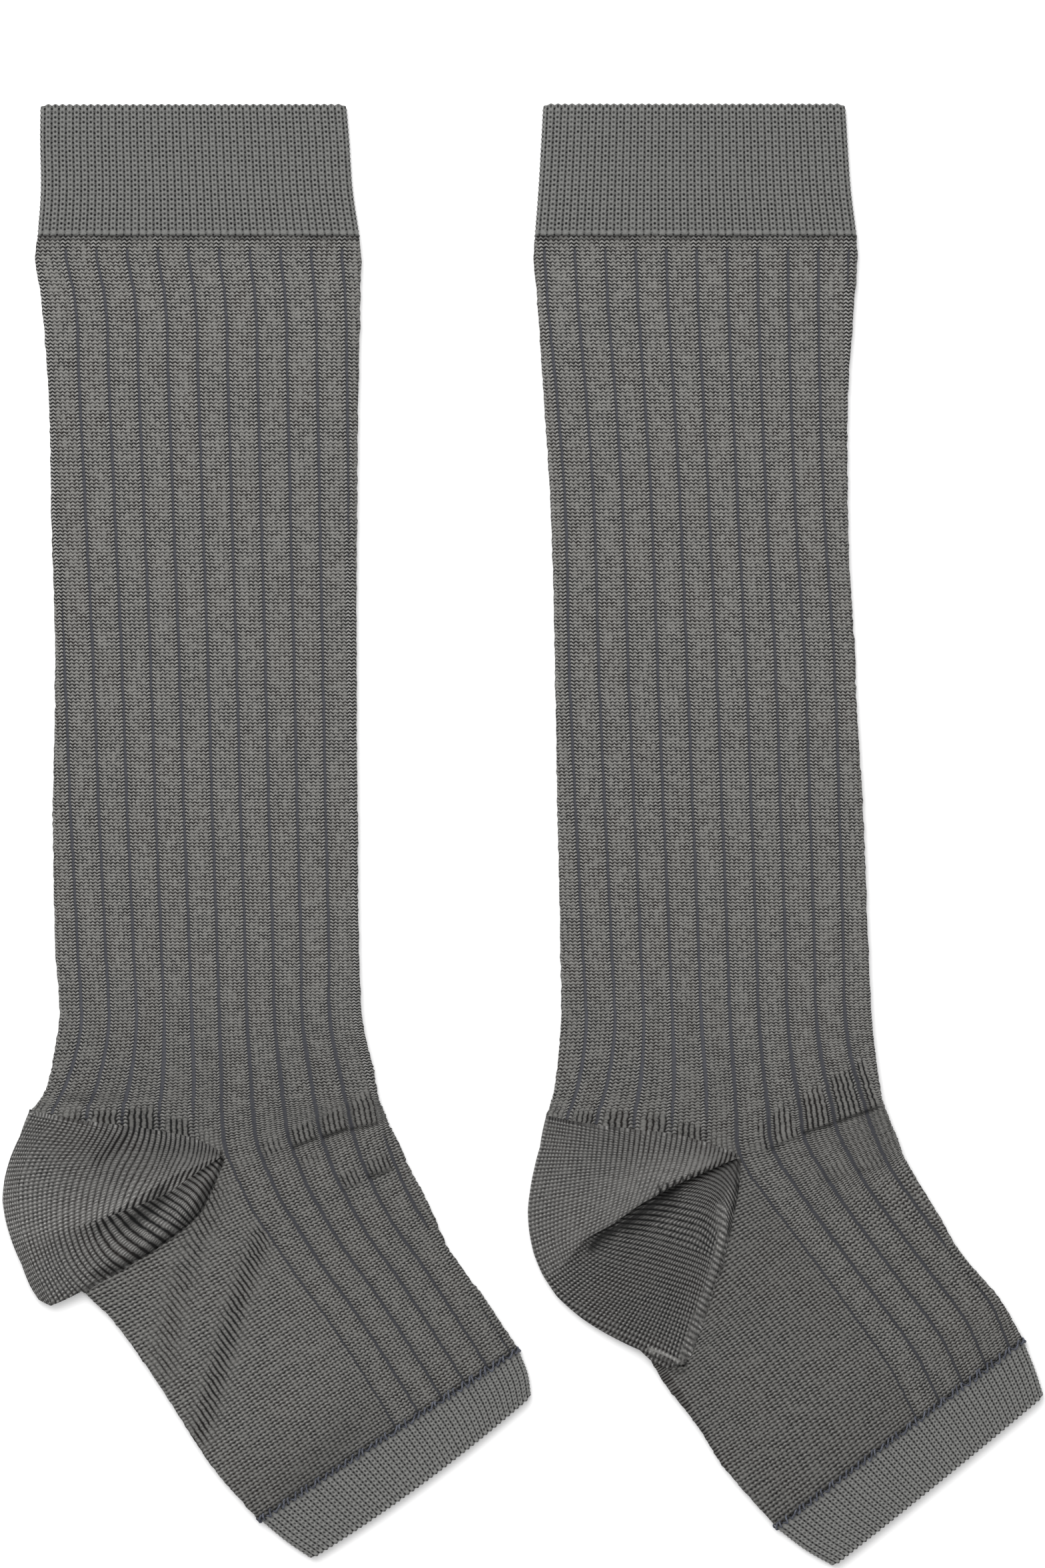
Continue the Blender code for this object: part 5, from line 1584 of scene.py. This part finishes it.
def toe_seam(name, line):
    """The overlock thread and the cloth edges inside it as one piece."""
    thread, faces = thread_tube(seam_thread(line))
    core, core_faces = seam_core(line)
    along = np.arange(len(thread))[:, None] * STITCHES_TO_A_STEP
    turn = np.arange(THREAD_SIDES) / THREAD_SIDES
    twist = np.stack(np.broadcast_arrays(turn, along), axis=2).reshape(-1, 2)
    thread = thread.reshape(-1, 3)
    faces += [[len(thread) + corner for corner in face] for face in core_faces]
    points = np.concatenate([thread, core])
    knit = np.ones((len(points), 3))
    # painted shade: the cloth edges deep in the seam are darkened
    knit[len(thread) :] = CORE_SHADE
    stitches = np.concatenate([twist, core[:, :2]])
    return cloth_piece(name, points, faces, stitches, knit, np.zeros(len(points)), slate_thread)


for side_name, table in TOE_BANDS.items():
    seam = toe_seam(side_name + "_overlock_thread", seam_line(SECTIONS[side_name][-1], table[0]))
    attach(seam, "root")
    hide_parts(side_name + "_toe_seam")
    measures = (TOE_WALES, TOE_ROW, TOE_SCALLOP)
    finish = {"tone": 1.07, "holes": 0.8, "plain_rows": 0.6, "join_shade": 0.35}
    band = eyelet_band(side_name + "_toe_band_knit", table, *measures, **finish)
    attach(band, "root")
    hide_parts(side_name + "_toe_band")

# The surface that the socks lie on, plain and white, and soft light from all over, with a little more of it
# from the upper left. The camera is straight above.
FLOOR_WHITE = "#FFFFFF"
FLOOR_DROP = 0.3
CAMERA_HEIGHT = 4.0
VIEW_MIDDLE = (-0.3, 16.2)
VIEW_HEIGHT = 497.0

bpy.ops.mesh.primitive_plane_add(size=6.0, location=(0.0, 0.0, -FLOOR_DROP * MM))
floor = bpy.context.object
floor.name = "white_table"
paper = bpy.data.materials.new("white_paper")
paper.use_nodes = True
sheet = paper.node_tree.nodes["Principled BSDF"]
sheet.inputs["Base Color"].default_value = linear(FLOOR_WHITE)
sheet.inputs["Roughness"].default_value = 0.9
floor.data.materials.append(paper)

world = bpy.data.worlds.new("studio")
world.use_nodes = True
sky = world.node_tree.nodes["Background"]
sky.inputs["Color"].default_value = (1.0, 1.0, 1.0, 1.0)
sky.inputs["Strength"].default_value = 0.85
bpy.context.scene.world = world
bpy.context.scene.view_settings.view_transform = "Standard"  # keeps the yarn's contrast on the bright surface
softbox = bpy.data.lights.new("softbox", "AREA")
softbox.shape = "RECTANGLE"
softbox.size = 2.0
softbox.size_y = 2.0
softbox.energy = 42.0
lamp = bpy.data.objects.new("softbox", softbox)
lamp.location = (-0.6, 1.3, 1.4)
lamp.rotation_euler = (math.radians(-43.0), math.radians(-17.0), 0.0)
bpy.context.scene.collection.objects.link(lamp)

lens = bpy.data.cameras.new("camera")
lens.type = "PERSP"
lens.sensor_width = 36.0
lens.lens = lens.sensor_width * CAMERA_HEIGHT / (VIEW_HEIGHT * MM)
lens.clip_end = 20.0
camera = bpy.data.objects.new("camera", lens)
camera.location = (VIEW_MIDDLE[0] * MM, VIEW_MIDDLE[1] * MM, CAMERA_HEIGHT)
bpy.context.scene.collection.objects.link(camera)
bpy.context.scene.camera = camera
